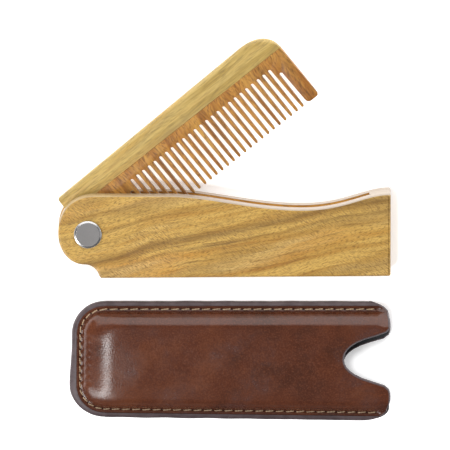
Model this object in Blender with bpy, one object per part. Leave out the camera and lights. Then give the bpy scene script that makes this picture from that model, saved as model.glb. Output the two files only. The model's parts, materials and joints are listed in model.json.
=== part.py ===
"""A folding wooden comb with a riveted handle, and the stitched leather sheath it is carried in.

Frame: +Z up from the table, +X along the handle towards its tail. The origin is in the middle of
the handle's length, on the pivot's centreline, on the handle's back face. Sizes are in metres.
The handle and the blade are drawn round the pivot, the sheath from its closed end.
"""

import math

import bmesh
import bpy
from mathutils import Vector

MM = 0.001

# Clearances
GLUE_LINE = 0.05 * MM
RUNNING_GAP = 0.05 * MM
HOLE_CLEARANCE = 0.05 * MM
PIVOT_CLEARANCE = 0.09 * MM
TIP_CLEARANCE = 0.35 * MM
TAIL_CLEARANCE = 4.7 * MM

# Blade: the comb itself, drawn as it lies in the closed handle
BLADE_ANGLE = 38.9
BLADE_LENGTH = 89.2 * MM
BLADE_THICKNESS = 3.4 * MM
BUTT_OVERHANG = 1.0 * MM
JOINT_LINE = 8.5 * MM
SPINE_AT_BUTT = 14.9 * MM
SPINE_AT_TIP = 16.5 * MM
SPINE_CORNER = 10.8 * MM
SPINE_ROUNDING = 0.9 * MM
TONGUE_HEIGHT = 3.0 * MM
TONGUE_THICKNESS = 1.2 * MM
TONGUE_STOP = 5.0 * MM
BUTT_NICK = 0.5 * MM

# Teeth
TEETH_REACH = 12.2 * MM
TOOTH_PITCH = 2.454 * MM
FIRST_GAP = 19.9 * MM
END_TOOTH_WIDTH = 4.6 * MM
GAP_AT_ROOT = 1.15 * MM
GAP_AT_TIP = 1.55 * MM
GAP_ROOT = 4.8 * MM
SHORT_GAP_ROOT = 1.7 * MM
TOOTH_TIP_THICKNESS = 1.7 * MM
FIRST_TOOTH_WIDTH = 6.5 * MM
TANG_RUN = 4.0 * MM
TOOTH_CORNER = 1.0 * MM
END_TOOTH_INNER_CORNER = 1.5 * MM

# Handle
SCALE_THICKNESS = 4.0 * MM
EDGE_ROUNDING = 0.6 * MM
HANDLE_HEAD = 9.9 * MM
HANDLE_TOP = 13.1 * MM
TAIL_TOP = 13.7 * MM
TAIL_BLOCK = 7.1 * MM
FLOOR_AT_HEAD = 2.45 * MM
FLOOR_AT_TAIL = 1.75 * MM
SHOULDER_RUN = 28.0 * MM
DIP_FROM_TAIL = 31.0 * MM
DIP_HEIGHT = 7.95 * MM
STEP_FROM_PIVOT = 3.8 * MM
FLOOR_BEFORE_STEP = 0.84 * MM
CHEEK_RADIUS = 10.4 * MM
CHEEK_BEHIND_PIVOT = 1.2 * MM

# Pivot rivet and washers
RIVET_HEAD_RADIUS = 4.63 * MM
RIVET_FACE_RADIUS = 4.0 * MM
RIVET_HEAD_HEIGHT = 0.85 * MM
RIVET_BEVEL_DROP = 0.4 * MM
BARREL_RADIUS = 2.5 * MM
STEM_RADIUS = 1.5 * MM
CAP_THICKNESS = 0.9 * MM
CAP_RECESS = 0.1 * MM
WASHER_THICKNESS = 0.2 * MM
WASHER_RADIUS = 6.0 * MM

# Sheath
LEATHER = 1.15 * MM
LINING = 0.35 * MM
SHEATH_EASE = 0.15 * MM
SIDE_ROOM = 4.1 * MM
MOUTH_FLARE = 0.7 * MM
TAIL_SHOWING = 9.6 * MM
SHEATH_END_ROOM = 4.8 * MM
SHEATH_APART = 8.2 * MM
SHEATH_SHIFT = 4.3 * MM
SHEATH_TURN = -0.38
SHEATH_CORNER = 11.0 * MM
EDGE_COAT_WIDTH = 1.65 * MM
EDGE_COAT_THICKNESS = 0.4 * MM
EDGE_COAT_PROUD = 0.3 * MM
STITCH_FROM_COAT = 1.25 * MM
THREAD_RADIUS = 0.28 * MM
THREAD_STOP = 2.0 * MM
GROOVE_DEPTH = 0.3 * MM
GROOVE_EASE = 0.07 * MM
GROOVE_BANK = 0.15 * MM
FOOT_FROM_STITCH = 0.7 * MM
FOOT_RELIEF = 0.8 * MM
SIDE_SHOULDER = 4.6 * MM
END_SHOULDER = 8.5 * MM
PLATEAU_CORNER = 4.0 * MM
THUMB_NOTCH_DEPTH = 15.6 * MM
THUMB_NOTCH_HALF = 8.3 * MM
FRONT_NOTCH_RISE = 1.7 * MM
BACK_NOTCH_DROP = 2.1 * MM
LIP_DEPTH = 4.0 * MM
LIP_HALF = 12.0 * MM
MOUTH_SWEEP = 10.3 * MM
MOUTH_OVERRUN = 0.5 * MM
MOUTH_CORNER_DROP = 1.5 * MM
NOTCH_THROAT = 5.7 * MM
NOTCH_PINCH = 1.3 * MM

# Derived places
SLOT_WIDTH = BLADE_THICKNESS + 2 * (WASHER_THICKNESS + 2 * RUNNING_GAP)
HANDLE_THICKNESS = 2 * SCALE_THICKNESS + SLOT_WIDTH
BLADE_BASE = SCALE_THICKNESS + WASHER_THICKNESS + 2 * RUNNING_GAP
SLOT_END = BLADE_LENGTH + TAIL_CLEARANCE
HANDLE_TAIL = SLOT_END + TAIL_BLOCK
SLOT_FLOOR = -(TEETH_REACH + TIP_CLEARANCE)
HEAD_BOTTOM = SLOT_FLOOR - FLOOR_AT_HEAD
TAIL_BOTTOM = SLOT_FLOOR - FLOOR_AT_TAIL
PIVOT_X = -(HANDLE_TAIL - HANDLE_HEAD) / 2
SEAM_HEIGHT = HANDLE_THICKNESS / 2 + SHEATH_EASE + LINING + GLUE_LINE + LEATHER
RIM_HEIGHT = GLUE_LINE / 2 + LINING + GLUE_LINE + LEATHER
FOLDED_LENGTH = HANDLE_HEAD + HANDLE_TAIL
FOLDED_HEIGHT = SPINE_AT_TIP - HEAD_BOTTOM
SHEATH_LENGTH = FOLDED_LENGTH - TAIL_SHOWING + SHEATH_END_ROOM
SHEATH_HALF_WIDTH = FOLDED_HEIGHT / 2 + SIDE_ROOM
STITCH_INSET = EDGE_COAT_WIDTH + STITCH_FROM_COAT
FOOT_INSET = STITCH_INSET + FOOT_FROM_STITCH
RAIL_END = SHEATH_LENGTH + 2 * EDGE_COAT_WIDTH
CUTTER_REACH = SEAM_HEIGHT * 1.5

ROUND_STEPS = 3
CIRCLE_STEPS = 32
CORNER_STEPS = 6
SHOULDER_STEPS = 6


# ---------------------------------------------------------------- outlines


def bezier(start, pull_start, pull_end, end, steps):
    """Points of a cubic curve, its start left out so that runs can be joined."""
    points = []
    for index in range(1, steps + 1):
        t = index / steps
        s = 1 - t
        weights = (s**3, 3 * s * s * t, 3 * s * t * t, t**3)
        knots = (start, pull_start, pull_end, end)
        points.append(tuple(sum(w * k[axis] for w, k in zip(weights, knots)) for axis in (0, 1)))
    return points


def arc(centre, radius, first_angle, last_angle, steps):
    """Points of a circular arc, both ends kept, angles in degrees."""
    points = []
    for index in range(steps + 1):
        angle = math.radians(first_angle + (last_angle - first_angle) * index / steps)
        points.append((centre[0] + radius * math.cos(angle), centre[1] + radius * math.sin(angle)))
    return points


def inset(outline, distance, weights=None):
    """The counter-clockwise outline moved inwards, each corner along its mitre."""
    moved = []
    count = len(outline)
    for index, point in enumerate(outline):
        before = Vector(point) - Vector(outline[index - 1])
        after = Vector(outline[(index + 1) % count]) - Vector(point)
        normals = [Vector((-edge.y, edge.x)).normalized() for edge in (before, after)]
        mitre = (normals[0] + normals[1]).normalized()
        length = distance / max(mitre.dot(normals[0]), 0.5)
        if weights:
            length *= weights[index]
        moved.append(tuple(Vector(point) + mitre * length))
    return moved


def at_height(outline, height):
    return [(x, y, height) for x, y in outline]


# ---------------------------------------------------------------- solids


def material(name, colour, roughness, metallic=0.0):
    made = bpy.data.materials.new(name)
    made.use_nodes = True
    shader = made.node_tree.nodes["Principled BSDF"]
    shader.inputs["Base Color"].default_value = (*colour, 1.0)
    shader.inputs["Roughness"].default_value = roughness
    shader.inputs["Metallic"].default_value = metallic
    return made


def frame_at(name, location, turn=0.0):
    empty = bpy.data.objects.new(name, None)
    empty.location = location
    empty.rotation_euler = (0, 0, math.radians(turn))
    bpy.context.scene.collection.objects.link(empty)
    return empty


def solid(name, points, faces, parent, finish=None):
    """One closed mesh object from points and faces, in its parent's frame."""
    mesh = bpy.data.meshes.new(name)
    mesh.from_pydata(points, [], faces)
    work = bmesh.new()
    work.from_mesh(mesh)
    bmesh.ops.recalc_face_normals(work, faces=work.faces)
    work.to_mesh(mesh)
    work.free()
    mesh.shade_smooth()
    mesh.set_sharp_from_angle(angle=math.radians(32))
    made = bpy.data.objects.new(name, mesh)
    made.parent = parent
    bpy.context.scene.collection.objects.link(made)
    if finish:
        mesh.materials.append(finish)
    else:
        made.hide_render = True
        made.display_type = "WIRE"
    return made


def ring_faces(ring_count, size, wrap_rings=False, wrap_points=True):
    """Quads between successive rings of points that are stored one ring after another."""
    faces = []
    for ring in range(ring_count if wrap_rings else ring_count - 1):
        low = ring * size
        high = ((ring + 1) % ring_count) * size
        for index in range(size if wrap_points else size - 1):
            following = (index + 1) % size
            faces.append((low + index, low + following, high + following, high + index))
    return faces


def stack(name, rings, parent, finish=None):
    """A solid through equal rings, closed by a flat face at each end."""
    size = len(rings[0])
    points = [point for ring in rings for point in ring]
    faces = ring_faces(len(rings), size)
    faces.append(tuple(range(size)))
    faces.append(tuple(range(len(points) - size, len(points))))
    return solid(name, points, faces, parent, finish)


def rounded_levels(low, high, round_low, round_high):
    """Pairs of height and inset up the side of a slab with rounded rims."""
    levels = []
    for index in range(ROUND_STEPS + 1 if round_low else 1):
        angle = math.radians(90 * index / ROUND_STEPS)
        levels.append((low + round_low * (1 - math.cos(angle)), round_low * (1 - math.sin(angle))))
    for index in range(ROUND_STEPS + 1 if round_high else 1):
        angle = math.radians(90 * index / ROUND_STEPS)
        levels.append((high - round_high * (1 - math.sin(angle)), round_high * (1 - math.cos(angle))))
    return levels


def slab(name, outline, low, high, parent, finish=None, round_low=0.0, round_high=0.0, weights=None):
    """The outline raised from low to high, its rims rounded where weights allow."""
    rings = []
    for height, distance in rounded_levels(low, high, round_low, round_high):
        rings.append(at_height(inset(outline, distance, weights), height))
    return stack(name, rings, parent, finish)


def box_between(name, low, high, parent):
    outline = [(low[0], low[1]), (high[0], low[1]), (high[0], high[1]), (low[0], high[1])]
    return slab(name, outline, low[2], high[2], parent)


def turned(name, profile, parent, finish=None, hollow=False):
    """A round solid about the pivot from (radius, height) pairs, open through its middle if hollow."""
    rings = []
    for radius, height in profile:
        rings.append(at_height(arc((0, 0), radius, 0, 360, CIRCLE_STEPS)[:-1], height))
    if not hollow:
        return stack(name, rings, parent, finish)
    points = [point for ring in rings for point in ring]
    faces = ring_faces(len(rings), CIRCLE_STEPS, wrap_rings=True)
    return solid(name, points, faces, parent, finish)


def combine(target, operation, other):
    step = target.modifiers.new(other.name, "BOOLEAN")
    step.operation = operation
    step.solver = "EXACT"
    step.object = other


# ---------------------------------------------------------------- handle


def handle_outline():
    """The side view shared by both scales, counter-clockwise from the foot of the step."""
    dip_x = HANDLE_TAIL - DIP_FROM_TAIL
    to_dip = dip_x - SHOULDER_RUN
    corner = EDGE_ROUNDING
    shoulder = (SHOULDER_RUN, HANDLE_TOP)
    dip = (dip_x, DIP_HEIGHT)
    tail_top = (HANDLE_TAIL - corner, TAIL_TOP)
    head_top = (HANDLE_HEAD * 0.2, HANDLE_TOP)
    head_front = (-HANDLE_HEAD, 0.0)
    cheek = (-CHEEK_BEHIND_PIVOT, -CHEEK_RADIUS)
    step_foot = (STEP_FROM_PIVOT, HEAD_BOTTOM + corner)

    points = [(STEP_FROM_PIVOT + corner, HEAD_BOTTOM)]
    points.append((HANDLE_TAIL - corner, TAIL_BOTTOM))
    points.append((HANDLE_TAIL, TAIL_BOTTOM + corner))
    points.append((HANDLE_TAIL, TAIL_TOP - corner))
    points.append(tail_top)
    rise_end = (HANDLE_TAIL - DIP_FROM_TAIL * 0.31, TAIL_TOP)
    points += bezier(tail_top, rise_end, (dip_x + DIP_FROM_TAIL * 0.35, DIP_HEIGHT), dip, 10)
    points += bezier(
        dip, (dip_x - to_dip * 0.48, DIP_HEIGHT), (SHOULDER_RUN + to_dip * 0.25, HANDLE_TOP), shoulder, 12
    )
    points.append(head_top)
    points += bezier(
        head_top, (-HANDLE_HEAD * 0.57, HANDLE_TOP), (-HANDLE_HEAD, HANDLE_TOP * 0.58), head_front, 9
    )
    points += bezier(
        head_front, (-HANDLE_HEAD, -CHEEK_RADIUS * 0.52), (-HANDLE_HEAD * 0.63, -CHEEK_RADIUS), cheek, 9
    )
    points += bezier(
        cheek,
        (STEP_FROM_PIVOT * 0.42, -CHEEK_RADIUS),
        (STEP_FROM_PIVOT * 0.9, HEAD_BOTTOM * 0.83),
        step_foot,
        6,
    )
    return points


def spacer_outline():
    """The slot's floor and the block at the tail, flush with the scales outside."""
    corner = EDGE_ROUNDING
    block_top = DIP_HEIGHT + (TAIL_TOP - DIP_HEIGHT) * 0.8
    return [
        (STEP_FROM_PIVOT + corner, HEAD_BOTTOM + corner / 2),
        (HANDLE_TAIL - corner, TAIL_BOTTOM + corner / 2),
        (HANDLE_TAIL - corner / 2, TAIL_BOTTOM + corner),
        (HANDLE_TAIL - corner / 2, TAIL_TOP - corner),
        (HANDLE_TAIL - corner, TAIL_TOP - corner / 2),
        (SLOT_END, block_top),
        (SLOT_END, SLOT_FLOOR),
        (STEP_FROM_PIVOT - FLOOR_BEFORE_STEP, SLOT_FLOOR),
    ]


def build_handle(frame, wood):
    outline = handle_outline()
    front_low = HANDLE_THICKNESS - SCALE_THICKNESS
    front = slab(
        "handle_front_scale", outline, front_low, HANDLE_THICKNESS, frame, wood, round_high=EDGE_ROUNDING
    )
    back = slab("handle_back_scale", outline, 0.0, SCALE_THICKNESS, frame, wood, round_low=EDGE_ROUNDING)
    slab(
        "handle_spacer",
        spacer_outline(),
        SCALE_THICKNESS + GLUE_LINE,
        front_low - GLUE_LINE,
        frame,
        wood,
    )

    hole_radius = BARREL_RADIUS + HOLE_CLEARANCE
    beyond = HANDLE_THICKNESS + SCALE_THICKNESS
    hole = turned("cut_rivet_hole", [(hole_radius, -SCALE_THICKNESS), (hole_radius, beyond)], frame)
    recess_radius = RIVET_HEAD_RADIUS + HOLE_CLEARANCE * 2
    recess_top = CAP_RECESS + CAP_THICKNESS + GLUE_LINE
    recess = turned("cut_cap_recess", [(recess_radius, -SCALE_THICKNESS), (recess_radius, recess_top)], frame)
    combine(front, "DIFFERENCE", hole)
    combine(back, "DIFFERENCE", hole)
    combine(back, "DIFFERENCE", recess)


def build_rivet(frame, steel, washer_metal):
    seat = HANDLE_THICKNESS + GLUE_LINE
    face = seat + RIVET_HEAD_HEIGHT
    cap_face = CAP_RECESS + CAP_THICKNESS
    barrel_foot = cap_face + GLUE_LINE * 2
    bore_radius = STEM_RADIUS + HOLE_CLEARANCE
    bore_top = HANDLE_THICKNESS - SCALE_THICKNESS / 2
    turned(
        "pivot_rivet_post",
        [
            (bore_radius, bore_top),
            (bore_radius, barrel_foot),
            (BARREL_RADIUS, barrel_foot),
            (BARREL_RADIUS, seat),
            (RIVET_HEAD_RADIUS, seat),
            (RIVET_HEAD_RADIUS, face - RIVET_BEVEL_DROP),
            ((RIVET_HEAD_RADIUS + RIVET_FACE_RADIUS) / 2, face - RIVET_BEVEL_DROP * 0.3),
            (RIVET_FACE_RADIUS, face),
        ],
        frame,
        steel,
    )
    stem_top = bore_top - STEM_RADIUS
    turned(
        "pivot_rivet_cap",
        [
            (RIVET_FACE_RADIUS, CAP_RECESS),
            (RIVET_HEAD_RADIUS, CAP_RECESS + RIVET_BEVEL_DROP),
            (RIVET_HEAD_RADIUS, cap_face),
            (STEM_RADIUS, cap_face),
            (STEM_RADIUS, stem_top - STEM_RADIUS / 3),
            (STEM_RADIUS * 2 / 3, stem_top),
        ],
        frame,
        steel,
    )
    inner = BARREL_RADIUS + PIVOT_CLEARANCE
    for name, low in (
        ("pivot_washer_back", SCALE_THICKNESS + RUNNING_GAP),
        ("pivot_washer_front", BLADE_BASE + BLADE_THICKNESS + RUNNING_GAP),
    ):
        high = low + WASHER_THICKNESS
        corners = [(inner, low), (WASHER_RADIUS, low), (WASHER_RADIUS, high), (inner, high)]
        turned(name, corners, frame, washer_metal, hollow=True)


# ---------------------------------------------------------------- blade


def gap_count():
    room = BLADE_LENGTH - END_TOOTH_WIDTH - FIRST_GAP
    return 1 + int(room / TOOTH_PITCH)


def gap_half_width(y):
    """Half the gap's width at a height: the gaps widen towards the tips."""
    share = (GAP_ROOT - y) / (GAP_ROOT + TEETH_REACH)
    return (GAP_AT_ROOT + (GAP_AT_TIP - GAP_AT_ROOT) * share) / 2


class PlateOutline:
    """The tooth plate's outline, with the thickness at each point and the fold across each tooth."""

    def __init__(self):
        self.points = []
        self.halves = []
        self.body = []
        self.teeth = []

    def add(self, x, y, fold=None):
        half = BLADE_THICKNESS / 2
        if fold is not None and y < fold:
            tip_half = TOOTH_TIP_THICKNESS / 2
            half = tip_half + (half - tip_half) * (y + TEETH_REACH) / (fold + TEETH_REACH)
        self.points.append((x, y))
        self.halves.append(half)
        return len(self.points) - 1

    def add_body(self, x, y):
        self.body.append(self.add(x, y))

    def add_gap(self, centre, root):
        """The rounded top of a gap, from its left side to its right side."""
        half = gap_half_width(root)
        for x, y in arc((centre, root - half), half, 180, 0, 4):
            self.add_body(x, y)

    def add_tooth(self, left_gap, right_gap, fold):
        """One tooth between two gaps: down its left side, round its tip and up its right side."""
        tip_half = gap_half_width(-TEETH_REACH)
        left = left_gap + tip_half
        right = right_gap - tip_half
        radius = (right - left) / 2
        tooth = [self.add(left_gap + gap_half_width(fold), fold)]
        for x, y in arc(((left + right) / 2, radius - TEETH_REACH), radius, 180, 360, 6):
            tooth.append(self.add(x, y, fold))
        tooth.append(self.add(right_gap - gap_half_width(fold), fold))
        self.body += [tooth[0], tooth[-1]]
        self.teeth.append(tooth)

    def add_end_tooth(self, left_gap, fold):
        """The wide tooth at the blade's end, with rounded corners."""
        left = left_gap + gap_half_width(-TEETH_REACH)
        inner, outer = END_TOOTH_INNER_CORNER, TOOTH_CORNER
        tooth = [self.add(left_gap + gap_half_width(fold), fold)]
        for x, y in arc((left + inner, inner - TEETH_REACH), inner, 180, 270, 4):
            tooth.append(self.add(x, y, fold))
        for x, y in arc((BLADE_LENGTH - outer, outer - TEETH_REACH), outer, 270, 360, 4):
            tooth.append(self.add(x, y, fold))
        tooth.append(self.add(BLADE_LENGTH, fold))
        self.body += [tooth[0], tooth[-1]]
        self.teeth.append(tooth)


def plate_outline():
    """Counter-clockwise from under the pivot: the wide first tooth, the comb, the end, the tang."""
    plate = PlateOutline()
    top = JOINT_LINE - GLUE_LINE
    count = gap_count()
    gaps = [FIRST_GAP + TOOTH_PITCH * index for index in range(count)]
    roots = [SHORT_GAP_ROOT if index in (0, count - 1) else GAP_ROOT for index in range(count)]

    first_right = gaps[0] - gap_half_width(-TEETH_REACH)
    first_left = first_right - FIRST_TOOTH_WIDTH
    corner = TOOTH_CORNER
    plate.add_body(first_left - TANG_RUN, -top)
    plate.add_body(first_left, corner - TEETH_REACH)
    plate.add_body(first_left + corner, -TEETH_REACH)
    for x, y in arc((first_right - corner, corner - TEETH_REACH), corner, 270, 360, 3):
        plate.add_body(x, y)

    for index in range(count):
        plate.add_gap(gaps[index], roots[index])
        if index + 1 < count:
            fold = min(roots[index], roots[index + 1]) - GAP_AT_ROOT
            plate.add_tooth(gaps[index], gaps[index + 1], fold)
    plate.add_end_tooth(gaps[-1], roots[-1] - GAP_AT_ROOT)

    plate.add_body(BLADE_LENGTH, top)
    for x, y in arc((0, 0), top, 90, 270, 18):
        plate.add_body(x, y)
    return plate


def build_tooth_plate(frame, wood):
    plate = plate_outline()
    count = len(plate.points)
    middle = BLADE_BASE + BLADE_THICKNESS / 2
    front = [(x, y, middle + half) for (x, y), half in zip(plate.points, plate.halves)]
    back = [(x, y, middle - half) for (x, y), half in zip(plate.points, plate.halves)]
    faces = ring_faces(2, count)
    for face in [plate.body, *plate.teeth]:
        faces.append(tuple(face))
        faces.append(tuple(count + index for index in face))
    made = solid("comb_tooth_plate", front + back, faces, frame, wood)

    tongue_end = BLADE_LENGTH - TONGUE_STOP
    tongue_top = JOINT_LINE + TONGUE_HEIGHT - GLUE_LINE
    tongue = box_between(
        "join_tongue",
        (TONGUE_STOP, JOINT_LINE - TONGUE_HEIGHT / 2, middle - TONGUE_THICKNESS / 2),
        (tongue_end, tongue_top, middle + TONGUE_THICKNESS / 2),
        frame,
    )
    hole_radius = BARREL_RADIUS + PIVOT_CLEARANCE
    hole = turned("cut_pivot_hole", [(hole_radius, 0.0), (hole_radius, HANDLE_THICKNESS)], frame)
    combine(made, "UNION", tongue)
    combine(made, "DIFFERENCE", hole)


def build_spine(frame, wood):
    """The lengthwise-grained back of the comb, grooved for the plate's tongue."""
    corner_start = (BLADE_LENGTH - SPINE_CORNER, SPINE_AT_TIP)
    corner_end = (BLADE_LENGTH, JOINT_LINE)
    outline = [(-BUTT_OVERHANG, JOINT_LINE), corner_end]
    outline += bezier(
        corner_end,
        (BLADE_LENGTH, JOINT_LINE + (SPINE_AT_TIP - JOINT_LINE) * 0.62),
        (BLADE_LENGTH - SPINE_CORNER * 0.42, SPINE_AT_TIP),
        corner_start,
        10,
    )
    outline.append((BUTT_NICK - BUTT_OVERHANG, SPINE_AT_BUTT))
    outline.append((-BUTT_OVERHANG, SPINE_AT_BUTT - BUTT_NICK))
    weights = [0.0, 0.0] + [min(1.0, 0.25 * (index + 1)) for index in range(10)] + [1.0, 0.0]
    top = BLADE_BASE + BLADE_THICKNESS
    spine = slab(
        "comb_spine",
        outline,
        BLADE_BASE,
        top,
        frame,
        wood,
        round_low=SPINE_ROUNDING,
        round_high=SPINE_ROUNDING,
        weights=weights,
    )
    middle = BLADE_BASE + BLADE_THICKNESS / 2
    half_groove = TONGUE_THICKNESS / 2 + GLUE_LINE
    groove = box_between(
        "cut_groove",
        (TONGUE_STOP - GLUE_LINE, JOINT_LINE - TONGUE_HEIGHT, middle - half_groove),
        (BLADE_LENGTH - TONGUE_STOP + GLUE_LINE, JOINT_LINE + TONGUE_HEIGHT, middle + half_groove),
        frame,
    )
    combine(spine, "DIFFERENCE", groove)


# ---------------------------------------------------------------- sheath


def half_width_at(x):
    return SHEATH_HALF_WIDTH + MOUTH_FLARE * x / SHEATH_LENGTH


def rail(side, end, corner, far=RAIL_END):
    """A line round three sides of the sheath, from the mouth along the top to the mouth again.

    side and end are its insets from the outer edge, corner its radius at the closed end.
    """
    centre_x = end + corner
    centre_y = half_width_at(0) - side - corner
    points = [(far, half_width_at(far) - side)]
    points += arc((centre_x, centre_y), corner, 90, 180, CORNER_STEPS)
    points += arc((centre_x, -centre_y), corner, 180, 270, CORNER_STEPS)
    points.append((far, side - half_width_at(far)))
    return points


def parallel_rail(distance, far=RAIL_END):
    return rail(distance, distance, SHEATH_CORNER - distance, far)


def shoulder_rails(foot, rim, height):
    """Rails up the moulded shoulder, a quarter of an ellipse from the rim to the flat top."""
    low = parallel_rail(foot)
    high = rail(FOOT_INSET + SIDE_SHOULDER, FOOT_INSET + END_SHOULDER, PLATEAU_CORNER)
    rails = []
    for step in range(SHOULDER_STEPS + 1):
        angle = math.radians(90 * step / SHOULDER_STEPS)
        across = 1 - math.cos(angle)
        up = rim + (height - rim) * math.sin(angle)
        between = [Vector(a).lerp(Vector(b), across) for a, b in zip(low, high)]
        rails.append(at_height(between, up))
    return rails


def edge_rails(first_inset, last_inset, height, low, steps):
    """Rails round the rounded outer edge, from the height low up to the rim."""
    rails = []
    first_angle = math.degrees(math.asin(low / height))
    for step in range(steps + 1):
        angle = math.radians(first_angle + (90 - first_angle) * step / steps)
        distance = first_inset + (last_inset - first_inset) * (1 - math.cos(angle))
        rails.append(at_height(parallel_rail(distance), height * math.sin(angle)))
    return rails


def moulded_layer(name, outer, inner, side, parent, finish=None):
    """A sheet moulded over the comb: outer and inner rails both run from the edge to the flat top.

    side is 1 for the front half of the sheath and -1 for its back half.
    """
    size = len(outer[0])
    rails = outer + inner
    points = [(x, y, z * side) for line in rails for x, y, z in line]
    first = [index * size for index in range(len(rails))]
    last = [start + size - 1 for start in first]
    split = len(outer)
    faces = ring_faces(split, size, wrap_points=False)
    for face in ring_faces(len(inner), size, wrap_points=False):
        faces.append(tuple(split * size + index for index in face))
    for index in range(size - 1):
        faces.append((index, index + 1, split * size + index + 1, split * size + index))
    for top in (split - 1, len(rails) - 1):
        faces.append(tuple(range(top * size, (top + 1) * size)))
    mouth = first[:split] + last[:split][::-1] + last[split:] + first[split:][::-1]
    faces.append(tuple(mouth))
    return solid(name, points, faces, parent, finish)


def leather_rails():
    """Outer and inner surfaces of a leather panel, with the sewing groove in its rim."""
    low = GLUE_LINE / 2 + LINING + GLUE_LINE
    edge_inset = EDGE_COAT_THICKNESS + GLUE_LINE
    outer = edge_rails(edge_inset, EDGE_COAT_WIDTH + GLUE_LINE, RIM_HEIGHT, low, 4)
    groove_half = THREAD_RADIUS + GROOVE_EASE
    for distance, height in (
        (STITCH_INSET - groove_half - GROOVE_BANK, RIM_HEIGHT),
        (STITCH_INSET - groove_half, RIM_HEIGHT - GROOVE_DEPTH),
        (STITCH_INSET + groove_half, RIM_HEIGHT - GROOVE_DEPTH),
        (STITCH_INSET + groove_half + GROOVE_BANK, RIM_HEIGHT),
    ):
        outer.append(at_height(parallel_rail(distance), height))
    outer += shoulder_rails(FOOT_INSET, RIM_HEIGHT, SEAM_HEIGHT)
    inner = [at_height(parallel_rail(edge_inset + GLUE_LINE * 2), low)]
    inner += shoulder_rails(FOOT_INSET + FOOT_RELIEF, low, SEAM_HEIGHT - LEATHER)
    return outer, inner


def lining_rails():
    """Outer and inner surfaces of a lining, a glue line inside its panel."""
    low = GLUE_LINE / 2
    rim = low + LINING
    edge_inset = EDGE_COAT_THICKNESS + GLUE_LINE * 3
    foot = FOOT_INSET + FOOT_RELIEF + GLUE_LINE
    outer = [at_height(parallel_rail(edge_inset), rim)]
    outer += shoulder_rails(foot, rim, SEAM_HEIGHT - LEATHER - GLUE_LINE)
    inner = [at_height(parallel_rail(edge_inset), low)]
    inner += shoulder_rails(foot + LINING, low, SEAM_HEIGHT - LEATHER - GLUE_LINE - LINING)
    return outer, inner


def mouth_path(notch_centre):
    """The cut that shapes the mouth, from the top edge round both lips to the bottom edge."""
    tip = SHEATH_LENGTH
    edge = half_width_at(tip) + MOUTH_OVERRUN
    corner = half_width_at(tip) - MOUTH_CORNER_DROP
    lip = LIP_HALF - THUMB_NOTCH_HALF
    path = []
    for side in (1, -1):
        lip_tip = (tip, notch_centre + side * LIP_HALF)
        lip_root = (tip - LIP_DEPTH, notch_centre + side * THUMB_NOTCH_HALF)
        start = (tip - LIP_DEPTH - MOUTH_SWEEP, side * edge)
        deepest = (tip - THUMB_NOTCH_DEPTH, notch_centre)
        run = [start]
        run += bezier(start, (tip - LIP_DEPTH * 1.5, side * edge), (tip, side * corner), lip_tip, 9)
        run += bezier(
            lip_tip,
            (tip, lip_tip[1] - side * lip * 0.6),
            (tip - LIP_DEPTH * 0.3, lip_root[1] + side * lip * 0.2),
            lip_root,
            4,
        )
        run += bezier(
            lip_root,
            (tip - LIP_DEPTH - NOTCH_THROAT, lip_root[1] - side * NOTCH_PINCH),
            (deepest[0], notch_centre + side * THUMB_NOTCH_HALF * 0.55),
            deepest,
            8,
        )
        path = run if side == 1 else path + run[::-1][1:]
    return path


def beside(path, distance):
    """The mouth's path moved off the sheath by the distance."""
    return inset(path, distance)[1:-1]


def mouth_cutter(name, path, parent):
    """Everything past the mouth's path, through the whole thickness."""
    far_x = RAIL_END + CUTTER_REACH
    far_y = half_width_at(far_x) + CUTTER_REACH
    start, end = path[0], path[-1]
    around = [(end[0], -far_y), (far_x, -far_y), (far_x, far_y), (start[0], far_y)]
    return slab(name, path + around, -CUTTER_REACH, CUTTER_REACH, parent)


def build_mouth_coat(name, path, side, parent, finish):
    """The painted strip along one half's mouth: a thin wall trimmed to the moulded shape."""
    outer, _ = leather_rails()
    _, inner = lining_rails()
    strip = moulded_layer(name, outer, inner, side, parent, finish)
    near = beside(path, GLUE_LINE)
    away = beside(path, EDGE_COAT_THICKNESS)
    wall = slab(f"keep_{name}", near + away[::-1], -CUTTER_REACH, CUTTER_REACH, parent)
    combine(strip, "INTERSECT", wall)


def build_edge_coat(parent, finish, cutters):
    """The thick painted edge round the three sewn sides, a C in section."""
    section = []
    steps = 8
    for index in range(steps + 1):
        angle = math.radians(-90 + 180 * index / steps)
        distance = EDGE_COAT_WIDTH * (1 - math.cos(angle))
        section.append((distance, (RIM_HEIGHT + EDGE_COAT_PROUD) * math.sin(angle)))
    inner_width = EDGE_COAT_WIDTH - EDGE_COAT_THICKNESS
    for index in range(steps + 1):
        angle = math.radians(90 - 180 * index / steps)
        distance = EDGE_COAT_THICKNESS + inner_width * (1 - math.cos(angle))
        section.append((distance, (RIM_HEIGHT + GLUE_LINE) * math.sin(angle)))
    rails = [at_height(parallel_rail(distance), height) for distance, height in section]
    size = len(rails[0])
    points = [point for line in rails for point in line]
    faces = ring_faces(len(rails), size, wrap_rings=True, wrap_points=False)
    faces.append(tuple(index * size for index in range(len(rails))))
    faces.append(tuple(index * size + size - 1 for index in range(len(rails))))
    coat = solid("sheath_edge_coat", points, faces, parent, finish)
    for cutter in cutters:
        combine(coat, "DIFFERENCE", cutter)


def mouth_reach(path, height):
    """How far along the sheath the path first crosses a line at this height, on either side."""
    crossings = []
    for (x0, y0), (x1, y1) in zip(path, path[1:]):
        for y in (height, -height):
            if min(y0, y1) <= y < max(y0, y1):
                crossings.append(x0 + (x1 - x0) * (y - y0) / (y1 - y0))
    return min(crossings)


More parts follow.
